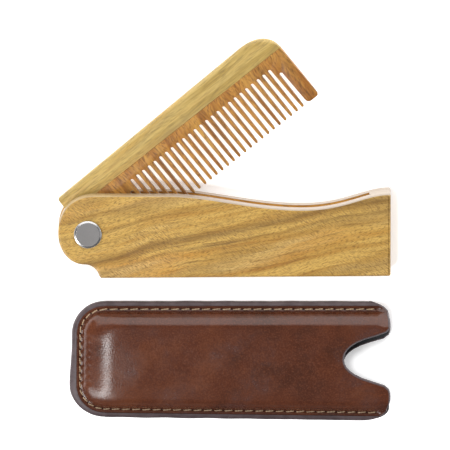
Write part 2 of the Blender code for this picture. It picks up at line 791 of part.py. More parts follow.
def build_thread(name, path, side, parent, finish):
    """The seam's thread, lying in its groove and stopping short of the mouth."""
    end = mouth_reach(path, half_width_at(SHEATH_LENGTH) - STITCH_INSET) - THREAD_STOP
    height = RIM_HEIGHT - GROOVE_DEPTH + GLUE_LINE + THREAD_RADIUS
    line = bpy.data.curves.new(name, "CURVE")
    line.dimensions = "3D"
    line.bevel_depth = THREAD_RADIUS
    line.bevel_resolution = 2
    line.use_fill_caps = True
    route = parallel_rail(STITCH_INSET, end)
    spline = line.splines.new("POLY")
    spline.points.add(len(route) - 1)
    for knot, (x, y) in zip(spline.points, route):
        knot.co = (x, y, height * side, 1)
    line.materials.append(finish)
    thread = bpy.data.objects.new(name, line)
    thread.parent = parent
    bpy.context.scene.collection.objects.link(thread)


def build_sheath(frame, leather, lining, coat, thread):
    cutters = []
    for half, side, notch_centre in (("front", 1, FRONT_NOTCH_RISE), ("back", -1, -BACK_NOTCH_DROP)):
        path = mouth_path(notch_centre)
        cutter = mouth_cutter(f"cut_{half}_mouth", path, frame)
        outer, inner = leather_rails()
        panel = moulded_layer(f"sheath_{half}_panel", outer, inner, side, frame, leather)
        outer, inner = lining_rails()
        liner = moulded_layer(f"sheath_{half}_lining", outer, inner, side, frame, lining)
        combine(panel, "DIFFERENCE", cutter)
        combine(liner, "DIFFERENCE", cutter)
        build_mouth_coat(f"sheath_{half}_mouth_coat", path, side, frame, coat)
        build_thread(f"sheath_{half}_thread", path, side, frame, thread)
        cutters.append(cutter)
    build_edge_coat(frame, coat, cutters)


def main():
    for old in list(bpy.data.objects):
        bpy.data.objects.remove(old)

    handle_wood = material("handle_wood", (0.60, 0.36, 0.12), 0.35)
    spine_wood = material("spine_wood", (0.58, 0.38, 0.14), 0.35)
    tooth_wood = material("tooth_wood", (0.46, 0.19, 0.05), 0.4)
    steel = material("rivet_steel", (0.55, 0.54, 0.53), 0.3, metallic=1.0)
    washer_metal = material("washer_brass", (0.70, 0.55, 0.25), 0.35, metallic=1.0)
    leather = material("brown_leather", (0.15, 0.04, 0.02), 0.4)
    lining = material("black_lining", (0.015, 0.015, 0.017), 0.8)
    coat = material("edge_paint", (0.11, 0.08, 0.085), 0.5)
    thread = material("beige_thread", (0.58, 0.43, 0.26), 0.7)

    handle_frame = frame_at("handle_frame", (PIVOT_X, 0, 0))
    blade_frame = frame_at("blade_frame", (PIVOT_X, 0, 0), BLADE_ANGLE)
    sheath_x = PIVOT_X - HANDLE_HEAD + SHEATH_SHIFT
    sheath_y = HEAD_BOTTOM - SHEATH_APART - SHEATH_HALF_WIDTH
    sheath_frame = frame_at("sheath_frame", (sheath_x, sheath_y, SEAM_HEIGHT), SHEATH_TURN)

    build_handle(handle_frame, handle_wood)
    build_rivet(handle_frame, steel, washer_metal)
    build_tooth_plate(blade_frame, tooth_wood)
    build_spine(blade_frame, spine_wood)
    build_sheath(sheath_frame, leather, lining, coat, thread)


main()
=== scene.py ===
"""The looks of the folding comb and its leather sheath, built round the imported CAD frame.

Shapes are drawn in millimetres in three local frames: the handle's and the blade's start at the
pivot, the sheath's at the middle of its closed end. Each piece keeps its own frame as its object
matrix, so that wood grain and leather mottling follow the piece.
"""

import json
import math

import bmesh
import bpy
from mathutils import Matrix, Vector, noise


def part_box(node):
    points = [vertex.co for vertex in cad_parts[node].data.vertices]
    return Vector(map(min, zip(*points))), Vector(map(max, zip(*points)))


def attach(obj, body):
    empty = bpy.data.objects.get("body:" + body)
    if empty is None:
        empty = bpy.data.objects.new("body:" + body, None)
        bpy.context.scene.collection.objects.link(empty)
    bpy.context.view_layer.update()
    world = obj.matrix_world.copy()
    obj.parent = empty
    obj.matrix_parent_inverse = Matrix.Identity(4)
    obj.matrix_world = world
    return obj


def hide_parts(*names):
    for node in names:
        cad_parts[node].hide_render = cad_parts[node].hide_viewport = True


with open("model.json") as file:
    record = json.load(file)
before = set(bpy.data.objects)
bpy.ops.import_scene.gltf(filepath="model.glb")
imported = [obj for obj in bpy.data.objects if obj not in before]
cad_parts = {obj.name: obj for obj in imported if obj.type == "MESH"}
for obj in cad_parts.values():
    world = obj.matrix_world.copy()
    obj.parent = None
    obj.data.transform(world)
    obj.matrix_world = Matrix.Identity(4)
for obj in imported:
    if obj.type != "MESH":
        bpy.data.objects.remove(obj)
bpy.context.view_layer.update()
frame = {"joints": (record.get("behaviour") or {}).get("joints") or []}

MM = 0.001

# ---- sizes from the frame


def box_mm(node):
    low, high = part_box(node)
    return low / MM, high / MM


rivet_low, rivet_high = box_mm("pivot_rivet_post")
scale_low, scale_high = box_mm("handle_front_scale")
back_low, back_high = box_mm("handle_back_scale")
plate_low, plate_high = box_mm("comb_tooth_plate")
cap_low, cap_high = box_mm("pivot_rivet_cap")

PIVOT = (rivet_low + rivet_high) / 2
BLADE_ANGLE = -frame["joints"][0]["range_deg"][0]

# ---- comb sizes, from the pivot

HANDLE_TAIL = scale_high.x - PIVOT.x
HANDLE_HEAD = PIVOT.x - scale_low.x
HANDLE_TOP = 13.1
TAIL_TOP = 13.7
HEAD_BOTTOM = scale_low.y
TAIL_BOTTOM = -14.3
SLOT_END = 93.9
SLOT_FLOOR = -12.55
SHOULDER_RUN = 27.2
DIP_FROM_TAIL = 29.5
DIP_HEIGHT = 8.4
# How far in from the outline the painted highlight on the rims facing +Y reaches.
PAINTED_HIGHLIGHT_RIM = 0.38
STEP_FROM_PIVOT = 3.8
CHEEK_RADIUS = 10.4
CHEEK_BEHIND_PIVOT = 1.2
HANDLE_CORNER = 0.6
SCALE_RIM = 0.75
SLOT_RIM = 0.12
GLUE_LINE = 0.05
HOLE_RADIUS = 2.55
RECESS_RADIUS = 4.73
RECESS_DEPTH = 1.05

BLADE_LENGTH = 89.2
BUTT_OVERHANG = 1.0
JOINT_LINE = 8.5
SPINE_AT_BUTT = 14.9
SPINE_AT_TIP = 16.5
SPINE_CORNER = 10.8
SPINE_RIM = 1.25
TEETH_REACH = 12.2
TOOTH_PITCH = 2.454
FIRST_GAP = 19.9
END_TOOTH_WIDTH = 4.6
GAP_AT_ROOT = 1.15
GAP_AT_TIP = 1.55
GAP_ROOT = 4.8
SHORT_GAP_ROOT = 1.7
TOOTH_TIP_THICKNESS = 1.7
TIP_LENGTH = 1.3
FIRST_TOOTH_WIDTH = 6.5
TANG_RUN = 4.0
TOOTH_RIM = 0.2
PLATE_THICKNESS = 3.4

RIVET_FACE_RADIUS = 4.0
RIVET_RADIUS = 4.63
BARREL_RADIUS = 2.5
BARREL_PLAY = 0.09
AXIS_RADIUS = 0.02

# ---- sheath sizes, from its closed end

SHEATH_ORIGIN = Vector((-51.15, -43.05, 7.7))
SHEATH_TURN = -0.38
SHEATH_LENGTH = 106.4
SHEATH_HALF = 19.85
MOUTH_FLARE = 0.7
SHEATH_CORNER = 11.0
SEAM_HEIGHT = 7.7
LEATHER = 1.15
LINING = 0.35
RIM_HEIGHT = 1.575
STITCH_INSET = 2.9
CROWN = 0.25
TOP_WANDER = 0.14
GROOVE_DEPTH = 0.2
GROOVE_HALF = 0.6
RIM_PUCKER = 0.16
SHOULDER_PUCKER = 0.32
FOOT_INSET = 3.6
SIDE_SHOULDER = 4.6
END_SHOULDER = 11.5
PLATEAU_CORNER = 4.0
COAT_WIDTH = 1.65
COAT_PROUD = 0.3
CUT_EDGE_INSET = 0.45
BEAD_BULGE = 0.28
BEAD_LAP = 0.3
NOTCH_DEPTH = 15.6
NOTCH_HALF = 8.3
LIP_DEPTH = 4.0
LIP_HALF = 12.0
MOUTH_SWEEP = 10.3
FRONT_NOTCH = 1.7
BACK_NOTCH = -2.8

RUN_COLUMNS = 230
END_COLUMNS = 56
CORNER_COLUMNS = 16
EDGE_ROWS = 6
SHOULDER_ROWS = 16
TOP_ROWS = 10


# ---- outlines


def bezier(start, pull_start, pull_end, end, steps):
    """Points of a cubic curve, its start left out so that runs can be joined."""
    points = []
    for index in range(1, steps + 1):
        t = index / steps
        s = 1 - t
        weights = (s**3, 3 * s * s * t, 3 * s * t * t, t**3)
        knots = (start, pull_start, pull_end, end)
        points.append(tuple(sum(w * k[axis] for w, k in zip(weights, knots)) for axis in (0, 1)))
    return points


def arc(centre, radius, first_angle, last_angle, steps):
    points = []
    for index in range(steps + 1):
        angle = math.radians(first_angle + (last_angle - first_angle) * index / steps)
        points.append((centre[0] + radius * math.cos(angle), centre[1] + radius * math.sin(angle)))
    return points


def inset(outline, distance, weights=None):
    """The counter-clockwise outline moved inwards, each corner along its mitre."""
    moved = []
    count = len(outline)
    for index, point in enumerate(outline):
        before = Vector(point) - Vector(outline[index - 1])
        after = Vector(outline[(index + 1) % count]) - Vector(point)
        normals = [Vector((-edge.y, edge.x)).normalized() for edge in (before, after)]
        mitre = (normals[0] + normals[1]).normalized()
        length = distance / max(mitre.dot(normals[0]), 0.5)
        if weights:
            length *= weights[index]
        moved.append(tuple(Vector(point) + mitre * length))
    return moved


def smooth(share):
    share = min(max(share, 0.0), 1.0)
    return share * share * (3 - 2 * share)


# ---- pieces

ROUND_STEPS = 96
HANDLE_FRAME = Matrix.Translation(Vector((PIVOT.x, PIVOT.y, 0)) * MM)
BLADE_FRAME = HANDLE_FRAME @ Matrix.Rotation(math.radians(BLADE_ANGLE), 4, "Z")
SHEATH_FRAME = Matrix.Translation(SHEATH_ORIGIN * MM)
SHEATH_FRAME = SHEATH_FRAME @ Matrix.Rotation(math.radians(SHEATH_TURN), 4, "Z")


def shade(mesh, sharp):
    mesh.shade_smooth()
    mesh.set_sharp_from_angle(angle=math.radians(sharp))


def mesh_piece(name, points, faces, place, finishes, face_finish=None, sharp=35):
    """A closed mesh object in millimetres in its local frame, with smooth shading."""
    mesh = bpy.data.meshes.new(name)
    mesh.from_pydata([Vector(point) * MM for point in points], [], faces)
    for finish in finishes:
        mesh.materials.append(finish)
    if face_finish:
        for polygon, index in zip(mesh.polygons, face_finish):
            polygon.material_index = index
    work = bmesh.new()
    work.from_mesh(mesh)
    bmesh.ops.remove_doubles(work, verts=work.verts, dist=1e-7)
    bmesh.ops.recalc_face_normals(work, faces=work.faces)
    work.to_mesh(mesh)
    work.free()
    shade(mesh, sharp)
    made = bpy.data.objects.new(name, mesh)
    made.matrix_world = place
    bpy.context.scene.collection.objects.link(made)
    return made


def settle(made, body, slot, *nodes):
    """Rides the piece on its body in place of its CAD nodes."""
    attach(made, body)
    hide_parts(*nodes)


def ring_faces(ring_count, size, wrap_rings=False, wrap_points=True):
    faces = []
    for ring in range(ring_count if wrap_rings else ring_count - 1):
        low = ring * size
        high = ((ring + 1) % ring_count) * size
        for index in range(size if wrap_points else size - 1):
            following = (index + 1) % size
            faces.append((low + index, low + following, high + following, high + index))
    return faces


def cut(target, cutters):
    """Boolean differences, applied to the mesh."""
    for cutter in cutters:
        step = target.modifiers.new("cut", "BOOLEAN")
        step.operation = "DIFFERENCE"
        step.solver = "EXACT"
        step.object = cutter
    graph = bpy.context.evaluated_depsgraph_get()
    done = bpy.data.meshes.new_from_object(target.evaluated_get(graph))
    target.modifiers.clear()
    target.data = done
    shade(done, 35)
    for cutter in cutters:
        bpy.data.objects.remove(cutter)


def cylinder(radius, low, high, place):
    ring = arc((0, 0), radius, 0, 360, ROUND_STEPS)[:-1]
    points = [(x, y, low) for x, y in ring] + [(x, y, high) for x, y in ring]
    faces = ring_faces(2, ROUND_STEPS)
    faces += [tuple(range(ROUND_STEPS)), tuple(range(ROUND_STEPS, 2 * ROUND_STEPS))]
    return mesh_piece("cutter", points, faces, place, [])


RIM_STEPS = 6
HOLD = 0.04


def rim_levels(low, high, round_low, round_high):
    """Pairs of height and inset up a slab's side, with a holding ring on each rounded face."""
    levels = []
    if round_low:
        levels.append((low, round_low + HOLD))
    for index in range(RIM_STEPS + 1 if round_low else 1):
        angle = math.radians(90 * index / RIM_STEPS)
        levels.append((low + round_low * (1 - math.cos(angle)), round_low * (1 - math.sin(angle))))
    for index in range(RIM_STEPS + 1 if round_high else 1):
        angle = math.radians(90 * index / RIM_STEPS)
        levels.append((high - round_high * (1 - math.sin(angle)), round_high * (1 - math.cos(angle))))
    if round_high:
        levels.append((high, round_high + HOLD))
    return levels


def facing_up(outline):
    """For each side of the outline, whether it looks towards +Y."""
    sides = []
    for index, point in enumerate(outline):
        edge = Vector(outline[(index + 1) % len(outline)]) - Vector(point)
        sides.append(-edge.x > abs(edge.y) * 0.25)
    return sides


def slab(name, outline, heights, place, finishes, rims=(0.0, 0.0), weights=None, caps=(0, 0), edge=0):
    """An outline made solid between two heights, its rims rounded.

    caps gives the finish of its low and high faces, edge that of its sides towards +Y near the
    rim, where a painted highlight goes.
    """
    levels = rim_levels(*heights, *rims)
    size = len(outline)
    points = []
    for height, distance in levels:
        points += [(x, y, height) for x, y in inset(outline, distance, weights)]
    faces = ring_faces(len(levels), size)
    up = facing_up(outline)
    face_finish = []
    for lower, upper in zip(levels, levels[1:]):
        # Rim faces towards +Y take the painted highlight finish.
        painted_highlight = edge if max(lower[1], upper[1]) <= PAINTED_HIGHLIGHT_RIM else 0
        face_finish += [painted_highlight if up[index] else 0 for index in range(size)]
    face_finish += caps
    faces.append(tuple(range(size)))
    faces.append(tuple(range(len(points) - size, len(points))))
    return mesh_piece(name, points, faces, place, finishes, face_finish)


def turned(name, profile, place, finishes, band_finish=None):
    """A round piece about the pivot from a closed list of (radius, height) pairs."""
    points = []
    for radius, height in profile:
        points += [(x, y, height) for x, y in arc((0, 0), radius, 0, 360, ROUND_STEPS)[:-1]]
    faces = ring_faces(len(profile), ROUND_STEPS, wrap_rings=True)
    face_finish = None
    if band_finish:
        face_finish = [band_finish[index // ROUND_STEPS] for index in range(len(faces))]
    return mesh_piece(name, points, faces, place, finishes, face_finish, sharp=50)


# ---- materials


class Finish:
    """A material whose nodes are made and joined in single calls."""

    def __init__(self, name, **sockets):
        self.material = bpy.data.materials.new(name)
        self.material.use_nodes = True
        self.tree = self.material.node_tree
        self.shader = self.tree.nodes["Principled BSDF"]
        for socket, value in sockets.items():
            self.shader.inputs[socket.replace("_", " ")].default_value = value

    def node(self, kind, inputs, output=0, **settings):
        made = self.tree.nodes.new("ShaderNode" + kind)
        for key, value in settings.items():
            setattr(made, key, value)
        for socket, value in inputs.items():
            self.feed(made.inputs[socket], value)
        return made.outputs[output]

    def feed(self, socket, value):
        if isinstance(value, bpy.types.NodeSocket):
            self.tree.links.new(value, socket)
        else:
            socket.default_value = value

    def position(self):
        """The place on the piece in millimetres."""
        coordinates = self.node("TexCoord", {}, "Object")
        return self.node("VectorMath", {0: coordinates, "Scale": 1 / MM}, operation="SCALE")

    def warped(self, vector, scale, reach):
        """The vector pushed about by up to half the reach, in millimetres."""
        drift = self.node("TexNoise", {"Vector": vector, "Scale": scale, "Detail": 2.0}, "Color")
        centred = self.node("VectorMath", {0: drift, 1: (0.5, 0.5, 0.5)}, operation="SUBTRACT")
        push = self.node("VectorMath", {0: centred, "Scale": reach}, operation="SCALE")
        return self.node("VectorMath", {0: vector, 1: push}, operation="ADD")

    def mapped(self, vector, turn=0.0, scale=(1, 1, 1), shift=(0, 0, 0)):
        turned_by = (0, 0, math.radians(turn))
        first = self.node("Mapping", {"Vector": vector, "Rotation": turned_by, "Location": shift})
        return self.node("VectorMath", {0: first, 1: scale}, operation="MULTIPLY")

    def noise(self, vector, scale, detail, roughness):
        inputs = {"Vector": vector, "Scale": scale, "Detail": detail, "Roughness": roughness}
        return self.node("TexNoise", inputs)

    def math(self, operation, first, second=0.0):
        return self.node("Math", {0: first, 1: second}, operation=operation)

    def remap(self, value, from_low, from_high, to_low=0.0, to_high=1.0):
        inputs = {0: value, 1: from_low, 2: from_high, 3: to_low, 4: to_high}
        return self.node("MapRange", inputs, interpolation_type="SMOOTHSTEP")

    def ramp(self, value, stops):
        made = self.tree.nodes.new("ShaderNodeValToRGB")
        self.feed(made.inputs["Fac"], value)
        made.color_ramp.interpolation = "EASE"
        elements = made.color_ramp.elements
        for position, _ in stops[2:]:
            elements.new(position)
        for element, (position, colour) in zip(sorted(elements, key=lambda e: e.position), stops):
            element.position = position
            element.color = (*colour, 1.0)
        return made.outputs["Color"]

    def mix(self, share, first, second, blend="MIX"):
        made = self.tree.nodes.new("ShaderNodeMix")
        made.data_type = "RGBA"
        made.blend_type = blend
        self.feed(made.inputs[0], share)
        for socket, value in ((6, first), (7, second)):
            if isinstance(value, tuple):
                value = (*value, 1.0)
            self.feed(made.inputs[socket], value)
        return made.outputs[2]

    def bump(self, height, distance, strength=1.0):
        return self.node("Bump", {"Height": height, "Distance": distance * MM, "Strength": strength})

    def surface(self, tone, texture, smoothest, roughest, depth):
        """A finish whose roughness and relief follow one texture."""
        gloss = self.remap(texture, 0.3, 0.7, smoothest, roughest)
        return self.set(Base_Color=tone, Roughness=gloss, Normal=self.bump(texture, depth))

    def set(self, **sockets):
        for socket, value in sockets.items():
            self.feed(self.shader.inputs[socket.replace("_", " ")], value)
        return self.material


WIDE_STOPS = (0.28, 0.42, 0.56, 0.72)
NARROW_STOPS = (0.3, 0.5, 0.62, 0.75)


def wood(name, tones, dark, slope, wander=9.0, pores=(), lines=0.5, tints=(), streaks=(), painted_highlight=None):
    """Verawood: soft bands along the grain, thin dark lines, fine fibres and short slanted pores.

    tones is a list of stops with their colours, slope the grain's angle in degrees. Each pore layer
    has an angle, its frequencies along and across the pore, and its strength. Each tint is a colour
    with its strength. Each streak is an offset across the grain, a half width and a strength. The last
    argument, if given, is the colour of a painted highlight, blended in more towards the tail.
    """
    made = Finish(name, IOR=1.5)
    place = made.position()
    bent = made.warped(place, 0.02, wander)
    grain = made.mapped(bent, -slope)
    bands = made.noise(made.mapped(grain, 0, (0.022, 0.36, 0.36)), 1.0, 6.0, 0.62)
    colour = made.ramp(bands, tones)
    for seed, (tint, strength) in enumerate(tints):
        patch = made.mapped(grain, 0, (0.014, 0.14, 0.14), (13 * seed + 7, 3, 0))
        patch = made.noise(patch, 1.0, 4.0, 0.6)
        colour = made.mix(made.remap(patch, 0.47, 0.66, 0.0, strength), colour, tint)
    across = made.node("SeparateXYZ", {0: grain}, 1)
    for offset, half, strength in streaks:
        away = made.math("ABSOLUTE", made.math("SUBTRACT", across, offset))
        broken = made.noise(made.mapped(grain, 0, (0.04, 1.1, 1.1), (0, offset, 0)), 1.0, 4.0, 0.6)
        near = made.remap(away, 0.0, half, strength, 0.0)
        share = made.math("MULTIPLY", near, made.remap(broken, 0.3, 0.6, 0.45, 1.0))
        colour = made.mix(share, colour, dark)
    threads = made.noise(made.mapped(grain, 0, (0.03, 1.0, 1.0), (5, 17, 0)), 1.0, 5.0, 0.7)
    colour = made.mix(made.remap(threads, 0.54, 0.72, 0.0, lines), colour, dark)
    fibres = made.noise(made.mapped(grain, 0, (0.14, 3.2, 3.2)), 1.0, 3.0, 0.65)
    colour = made.mix(made.remap(fibres, 0.48, 0.74, 0.0, 0.34), colour, dark)
    colour = made.mix(made.remap(fibres, 0.5, 0.26, 0.0, 0.3), colour, tones[-2][1])
    zones = made.noise(made.mapped(grain, 0, (0.035, 0.13, 0.13), (31, 0, 0)), 1.0, 2.0, 0.5)
    relief = made.math("SUBTRACT", 1.0, fibres)
    for number, (angle, along_pore, across_pore, strength) in enumerate(pores):
        spots = made.noise(made.mapped(place, -angle, (along_pore, across_pore, 1.0)), 1.0, 2.0, 0.55)
        shown = made.remap(zones, 0.4, 0.54) if number % 2 == 0 else made.remap(zones, 0.54, 0.42)
        marks = made.math("MULTIPLY", made.remap(spots, 0.5, 0.64), shown)
        colour = made.mix(made.math("MULTIPLY", marks, strength), colour, dark)
        relief = made.math("SUBTRACT", relief, made.math("MULTIPLY", marks, 0.6))
    # Painted highlight: the pale colour blended in more and more towards the tail.
    if painted_highlight:
        reach = made.node("SeparateXYZ", {0: place}, 0)
        colour = made.mix(made.remap(reach, 5.0, 42.0, 0.15, 0.88), colour, painted_highlight)
    gloss = made.remap(bands, 0.3, 0.7, 0.34, 0.46)
    return made.set(Base_Color=colour, Roughness=gloss, Normal=made.bump(relief, 0.03, 0.6))


def handle_wood():
    colours = ((0.37, 0.175, 0.030), (0.50, 0.280, 0.055), (0.62, 0.385, 0.090), (0.53, 0.290, 0.052))
    return wood(
        "handle_wood",
        list(zip(WIDE_STOPS, colours)),
        (0.17, 0.085, 0.015),
        12.5,
        wander=7.0,
        pores=((-37, 0.8, 3.8, 0.75), (24, 0.75, 3.6, 0.7), (-33, 0.5, 2.4, 0.5)),
        lines=0.8,
        tints=(((0.57, 0.25, 0.03), 0.6), ((0.68, 0.47, 0.18), 0.6), ((0.35, 0.20, 0.035), 0.55)),
        streaks=((-9.8, 2.6, 0.68), (-13.6, 1.0, 0.45), (0.5, 1.2, 0.45)),
    )


def slot_wood():
    colours = ((0.50, 0.23, 0.040), (0.66, 0.33, 0.060), (0.78, 0.42, 0.085), (0.60, 0.26, 0.045))
    tones = list(zip(NARROW_STOPS, colours))
    return wood("slot_wood", tones, (0.25, 0.11, 0.03), 12.5, pores=((-30, 0.5, 2.5, 0.5),))


def edge_highlight_wood():
    """The upper rims that face the light: greyer wood turning pale towards the tail, a painted
    highlight.
    """
    colours = ((0.34, 0.21, 0.070), (0.42, 0.28, 0.100), (0.48, 0.34, 0.140), (0.38, 0.24, 0.080))
    tones = list(zip(NARROW_STOPS, colours))
    pores = ((-30, 0.5, 2.5, 0.3),)
    # The pale colour of the painted highlight.
    pale = (0.47, 0.395, 0.325)
    return wood("edge_highlight_wood", tones, (0.24, 0.15, 0.06), 12.5, pores=pores, lines=0.3, painted_highlight=pale)


def spine_wood():
    colours = ((0.315, 0.205, 0.060), (0.45, 0.300, 0.078), (0.58, 0.405, 0.122), (0.455, 0.285, 0.078))
    return wood(
        "spine_wood",
        list(zip(WIDE_STOPS, colours)),
        (0.20, 0.135, 0.045),
        0,
        wander=3.0,
        pores=((3, 0.24, 3.4, 0.5), (-4, 0.3, 3.2, 0.45)),
        lines=0.6,
        tints=(((0.50, 0.40, 0.20), 0.35), ((0.52, 0.275, 0.050), 0.5)),
    )


def tooth_wood():
    colours = ((0.19, 0.064, 0.011), (0.315, 0.125, 0.023), (0.52, 0.240, 0.042), (0.29, 0.118, 0.020))
    return wood(
        "tooth_wood",
        list(zip(WIDE_STOPS, colours)),
        (0.12, 0.048, 0.012),
        90,
        wander=4.0,
        pores=((76, 0.5, 2.4, 0.65), (100, 0.5, 2.4, 0.65)),
        lines=0.7,
        tints=(((0.64, 0.37, 0.080), 0.7), ((0.33, 0.11, 0.018), 0.5)),
    )


def metal(name, colour, roughness, grain):
    made = Finish(name, Metallic=1.0)
    place = made.position()
    fine = made.noise(place, grain, 3.0, 0.6)
    tone = made.ramp(fine, [(0.3, tuple(c * 0.9 for c in colour)), (0.7, colour)])
    gloss = made.remap(fine, 0.3, 0.7, roughness * 0.85, roughness * 1.15)
    return made.set(Base_Color=tone, Roughness=gloss, Normal=made.bump(fine, 0.004, 0.5))


def leather():
    """Smooth brown leather: dark and pale clouds, a fine pebble, a soft glaze and a painted sheen."""
    made = Finish("brown_leather", IOR=1.53)
    place = made.position()
    bent = made.warped(place, 0.05, 10.0)
    clouds = made.noise(bent, 0.07, 6.0, 0.62)
    browns = ((0.056, 0.013, 0.004), (0.083, 0.020, 0.0068), (0.108, 0.029, 0.010))
    colour = made.ramp(clouds, list(zip((0.34, 0.5, 0.66), browns)))
    # Grey-purple patches mixed into the colour are a painted sheen; the same noise also varies the
    # roughness.
    gloss_and_painted_sheen = made.noise(made.mapped(bent, 0, (1, 1, 1), (40, 11, 5)), 0.085, 5.0, 0.65)
    colour = made.mix(made.remap(gloss_and_painted_sheen, 0.52, 0.68, 0.0, 0.6), colour, (0.064, 0.0215, 0.0160))
    grain = made.noise(place, 1.9, 3.0, 0.6)
    colour = made.mix(made.remap(grain, 0.45, 0.75, 0.0, 0.42), colour, (0.18, 0.057, 0.025))
    colour = made.mix(made.remap(grain, 0.52, 0.3, 0.0, 0.4), colour, (0.047, 0.0105, 0.0035))
    pebble = made.node("TexVoronoi", {"Vector": made.warped(place, 1.5, 0.5), "Scale": 1.7}, 0)
    height = made.math("ADD", pebble, made.math("MULTIPLY", grain, 1.4))
    gloss = made.remap(gloss_and_painted_sheen, 0.35, 0.7, 0.2, 0.28)
    return made.set(Base_Color=colour, Roughness=gloss, Normal=made.bump(height, 0.028, 0.6))


def lining():
    made = Finish("black_lining", IOR=1.45)
    place = made.position()
    weave = made.noise(made.mapped(place, 30, (3.0, 1.2, 2.0)), 1.0, 3.0, 0.6)
    tone = made.ramp(weave, [(0.35, (0.008, 0.009, 0.011)), (0.7, (0.028, 0.03, 0.034))])
    return made.surface(tone, weave, 0.55, 0.75, 0.03)


def edge_paint():
    made = Finish("edge_paint", IOR=1.45)
    place = made.position()
    cloud = made.noise(place, 0.35, 4.0, 0.6)
    tone = made.ramp(cloud, [(0.32, (0.056, 0.035, 0.038)), (0.7, (0.092, 0.065, 0.069))])
    fine = made.noise(place, 3.0, 2.0, 0.6)
    return made.surface(tone, fine, 0.4, 0.52, 0.015)


def thread_finish():
    made = Finish("beige_thread", IOR=1.45)
    place = made.position()
    fluff = made.noise(place, 4.0, 3.0, 0.6)
    tone = made.ramp(fluff, [(0.3, (0.36, 0.23, 0.13)), (0.7, (0.66, 0.50, 0.33))])
    return made.surface(tone, fluff, 0.55, 0.75, 0.02)


# Near-black discs sunk in the needle holes: painted shade for the hollow of each hole.
def needle_hole_shade():
    made = Finish("needle_hole_shade", IOR=1.4)
    fine = made.noise(made.position(), 4.0, 2.0, 0.5)
    tone = made.ramp(fine, [(0.3, (0.006, 0.003, 0.002)), (0.7, (0.02, 0.008, 0.005))])
    return made.set(Base_Color=tone, Roughness=made.remap(fine, 0.3, 0.7, 0.8, 0.95))


# ---- handle


def dip_curve(steps):
    """The handle's top edge from the tail back to the shoulder."""
    dip_x = HANDLE_TAIL - DIP_FROM_TAIL
    to_dip = dip_x - SHOULDER_RUN
    tail_top = (HANDLE_TAIL - HANDLE_CORNER, TAIL_TOP)
    dip = (dip_x, DIP_HEIGHT)
    rise_end = (HANDLE_TAIL - DIP_FROM_TAIL * 0.295, TAIL_TOP)
    points = [tail_top]
    points += bezier(tail_top, rise_end, (dip_x + DIP_FROM_TAIL * 0.483, DIP_HEIGHT), dip, steps)
    pulls = ((dip_x - to_dip * 0.374, DIP_HEIGHT), (SHOULDER_RUN + to_dip * 0.298, HANDLE_TOP))
    points += bezier(dip, *pulls, (SHOULDER_RUN, HANDLE_TOP), steps)
    return points


def handle_outline():
    corner = HANDLE_CORNER
    head_top = (HANDLE_HEAD * 0.2, HANDLE_TOP)
    head_front = (-HANDLE_HEAD, 0.0)
    cheek = (-CHEEK_BEHIND_PIVOT, -CHEEK_RADIUS)
    step_foot = (STEP_FROM_PIVOT, HEAD_BOTTOM + corner)
    points = [(STEP_FROM_PIVOT + corner, HEAD_BOTTOM)]
    points += arc((HANDLE_TAIL - corner, TAIL_BOTTOM + corner), corner, 270, 360, 4)
    points += arc((HANDLE_TAIL - corner, TAIL_TOP - corner), corner, 0, 90, 4)[:-1]
    points += dip_curve(36)
    points.append(head_top)
    points += bezier(
        head_top, (-HANDLE_HEAD * 0.57, HANDLE_TOP), (-HANDLE_HEAD, HANDLE_TOP * 0.58), head_front, 32
    )
    points += bezier(
        head_front, (-HANDLE_HEAD, -CHEEK_RADIUS * 0.52), (-HANDLE_HEAD * 0.63, -CHEEK_RADIUS), cheek, 32
    )
    points += bezier(
        cheek,
        (STEP_FROM_PIVOT * 0.42, -CHEEK_RADIUS),
        (STEP_FROM_PIVOT * 0.9, HEAD_BOTTOM * 0.83),
        step_foot,
        18,
    )
    return points


def spacer_outline():
    """The slot's floor and the tail block, a hair inside the scales."""
    inside = 0.03
    foot = (STEP_FROM_PIVOT + HANDLE_CORNER, HEAD_BOTTOM + inside)
    corner = HANDLE_CORNER
    points = [foot]
    points += arc((HANDLE_TAIL - corner, TAIL_BOTTOM + corner), corner - inside, 270, 360, 4)
    points += arc((HANDLE_TAIL - corner, TAIL_TOP - corner), corner - inside, 0, 90, 4)[:-1]
    points += [(x, y - inside) for x, y in dip_curve(36) if x > SLOT_END]
    points.append((SLOT_END, points[-1][1] - inside))
    points.append((SLOT_END, SLOT_FLOOR))
    points.append((STEP_FROM_PIVOT * 0.78, SLOT_FLOOR))
    return points


def build_handle(finish, slot_finish, highlight_finish):
    outline = handle_outline()
    through = (back_low.z - 1, scale_high.z + 1)
    three = [finish, slot_finish, highlight_finish]
    place = HANDLE_FRAME
    heights = (scale_low.z, scale_high.z)
    rims = (SLOT_RIM, SCALE_RIM)
    # Finish 2, on the rims facing +Y, is a painted highlight.
    front = slab("visual_front_scale", outline, heights, place, three, rims, caps=(1, 0), edge=2)
    heights = (back_low.z, back_high.z)
    back = slab("visual_back_scale", outline, heights, place, three, rims[::-1], caps=(0, 1), edge=2)
    heights = (back_high.z + GLUE_LINE, scale_low.z - GLUE_LINE)
    spacer = slab("visual_spacer", spacer_outline(), heights, place, three, edge=2)
    cut(front, [cylinder(HOLE_RADIUS, *through, place)])
    recess = cylinder(RECESS_RADIUS, through[0], back_low.z + RECESS_DEPTH, place)
    cut(back, [cylinder(HOLE_RADIUS, *through, place), recess])
    for piece in (front, back, spacer):
        piece.visible_glossy = False
    settle(front, "handle", "handle_wood", "handle_front_scale")
    settle(back, "handle", "handle_wood", "handle_back_scale")
    settle(spacer, "handle", "handle_wood", "handle_spacer")


# ---- rivet


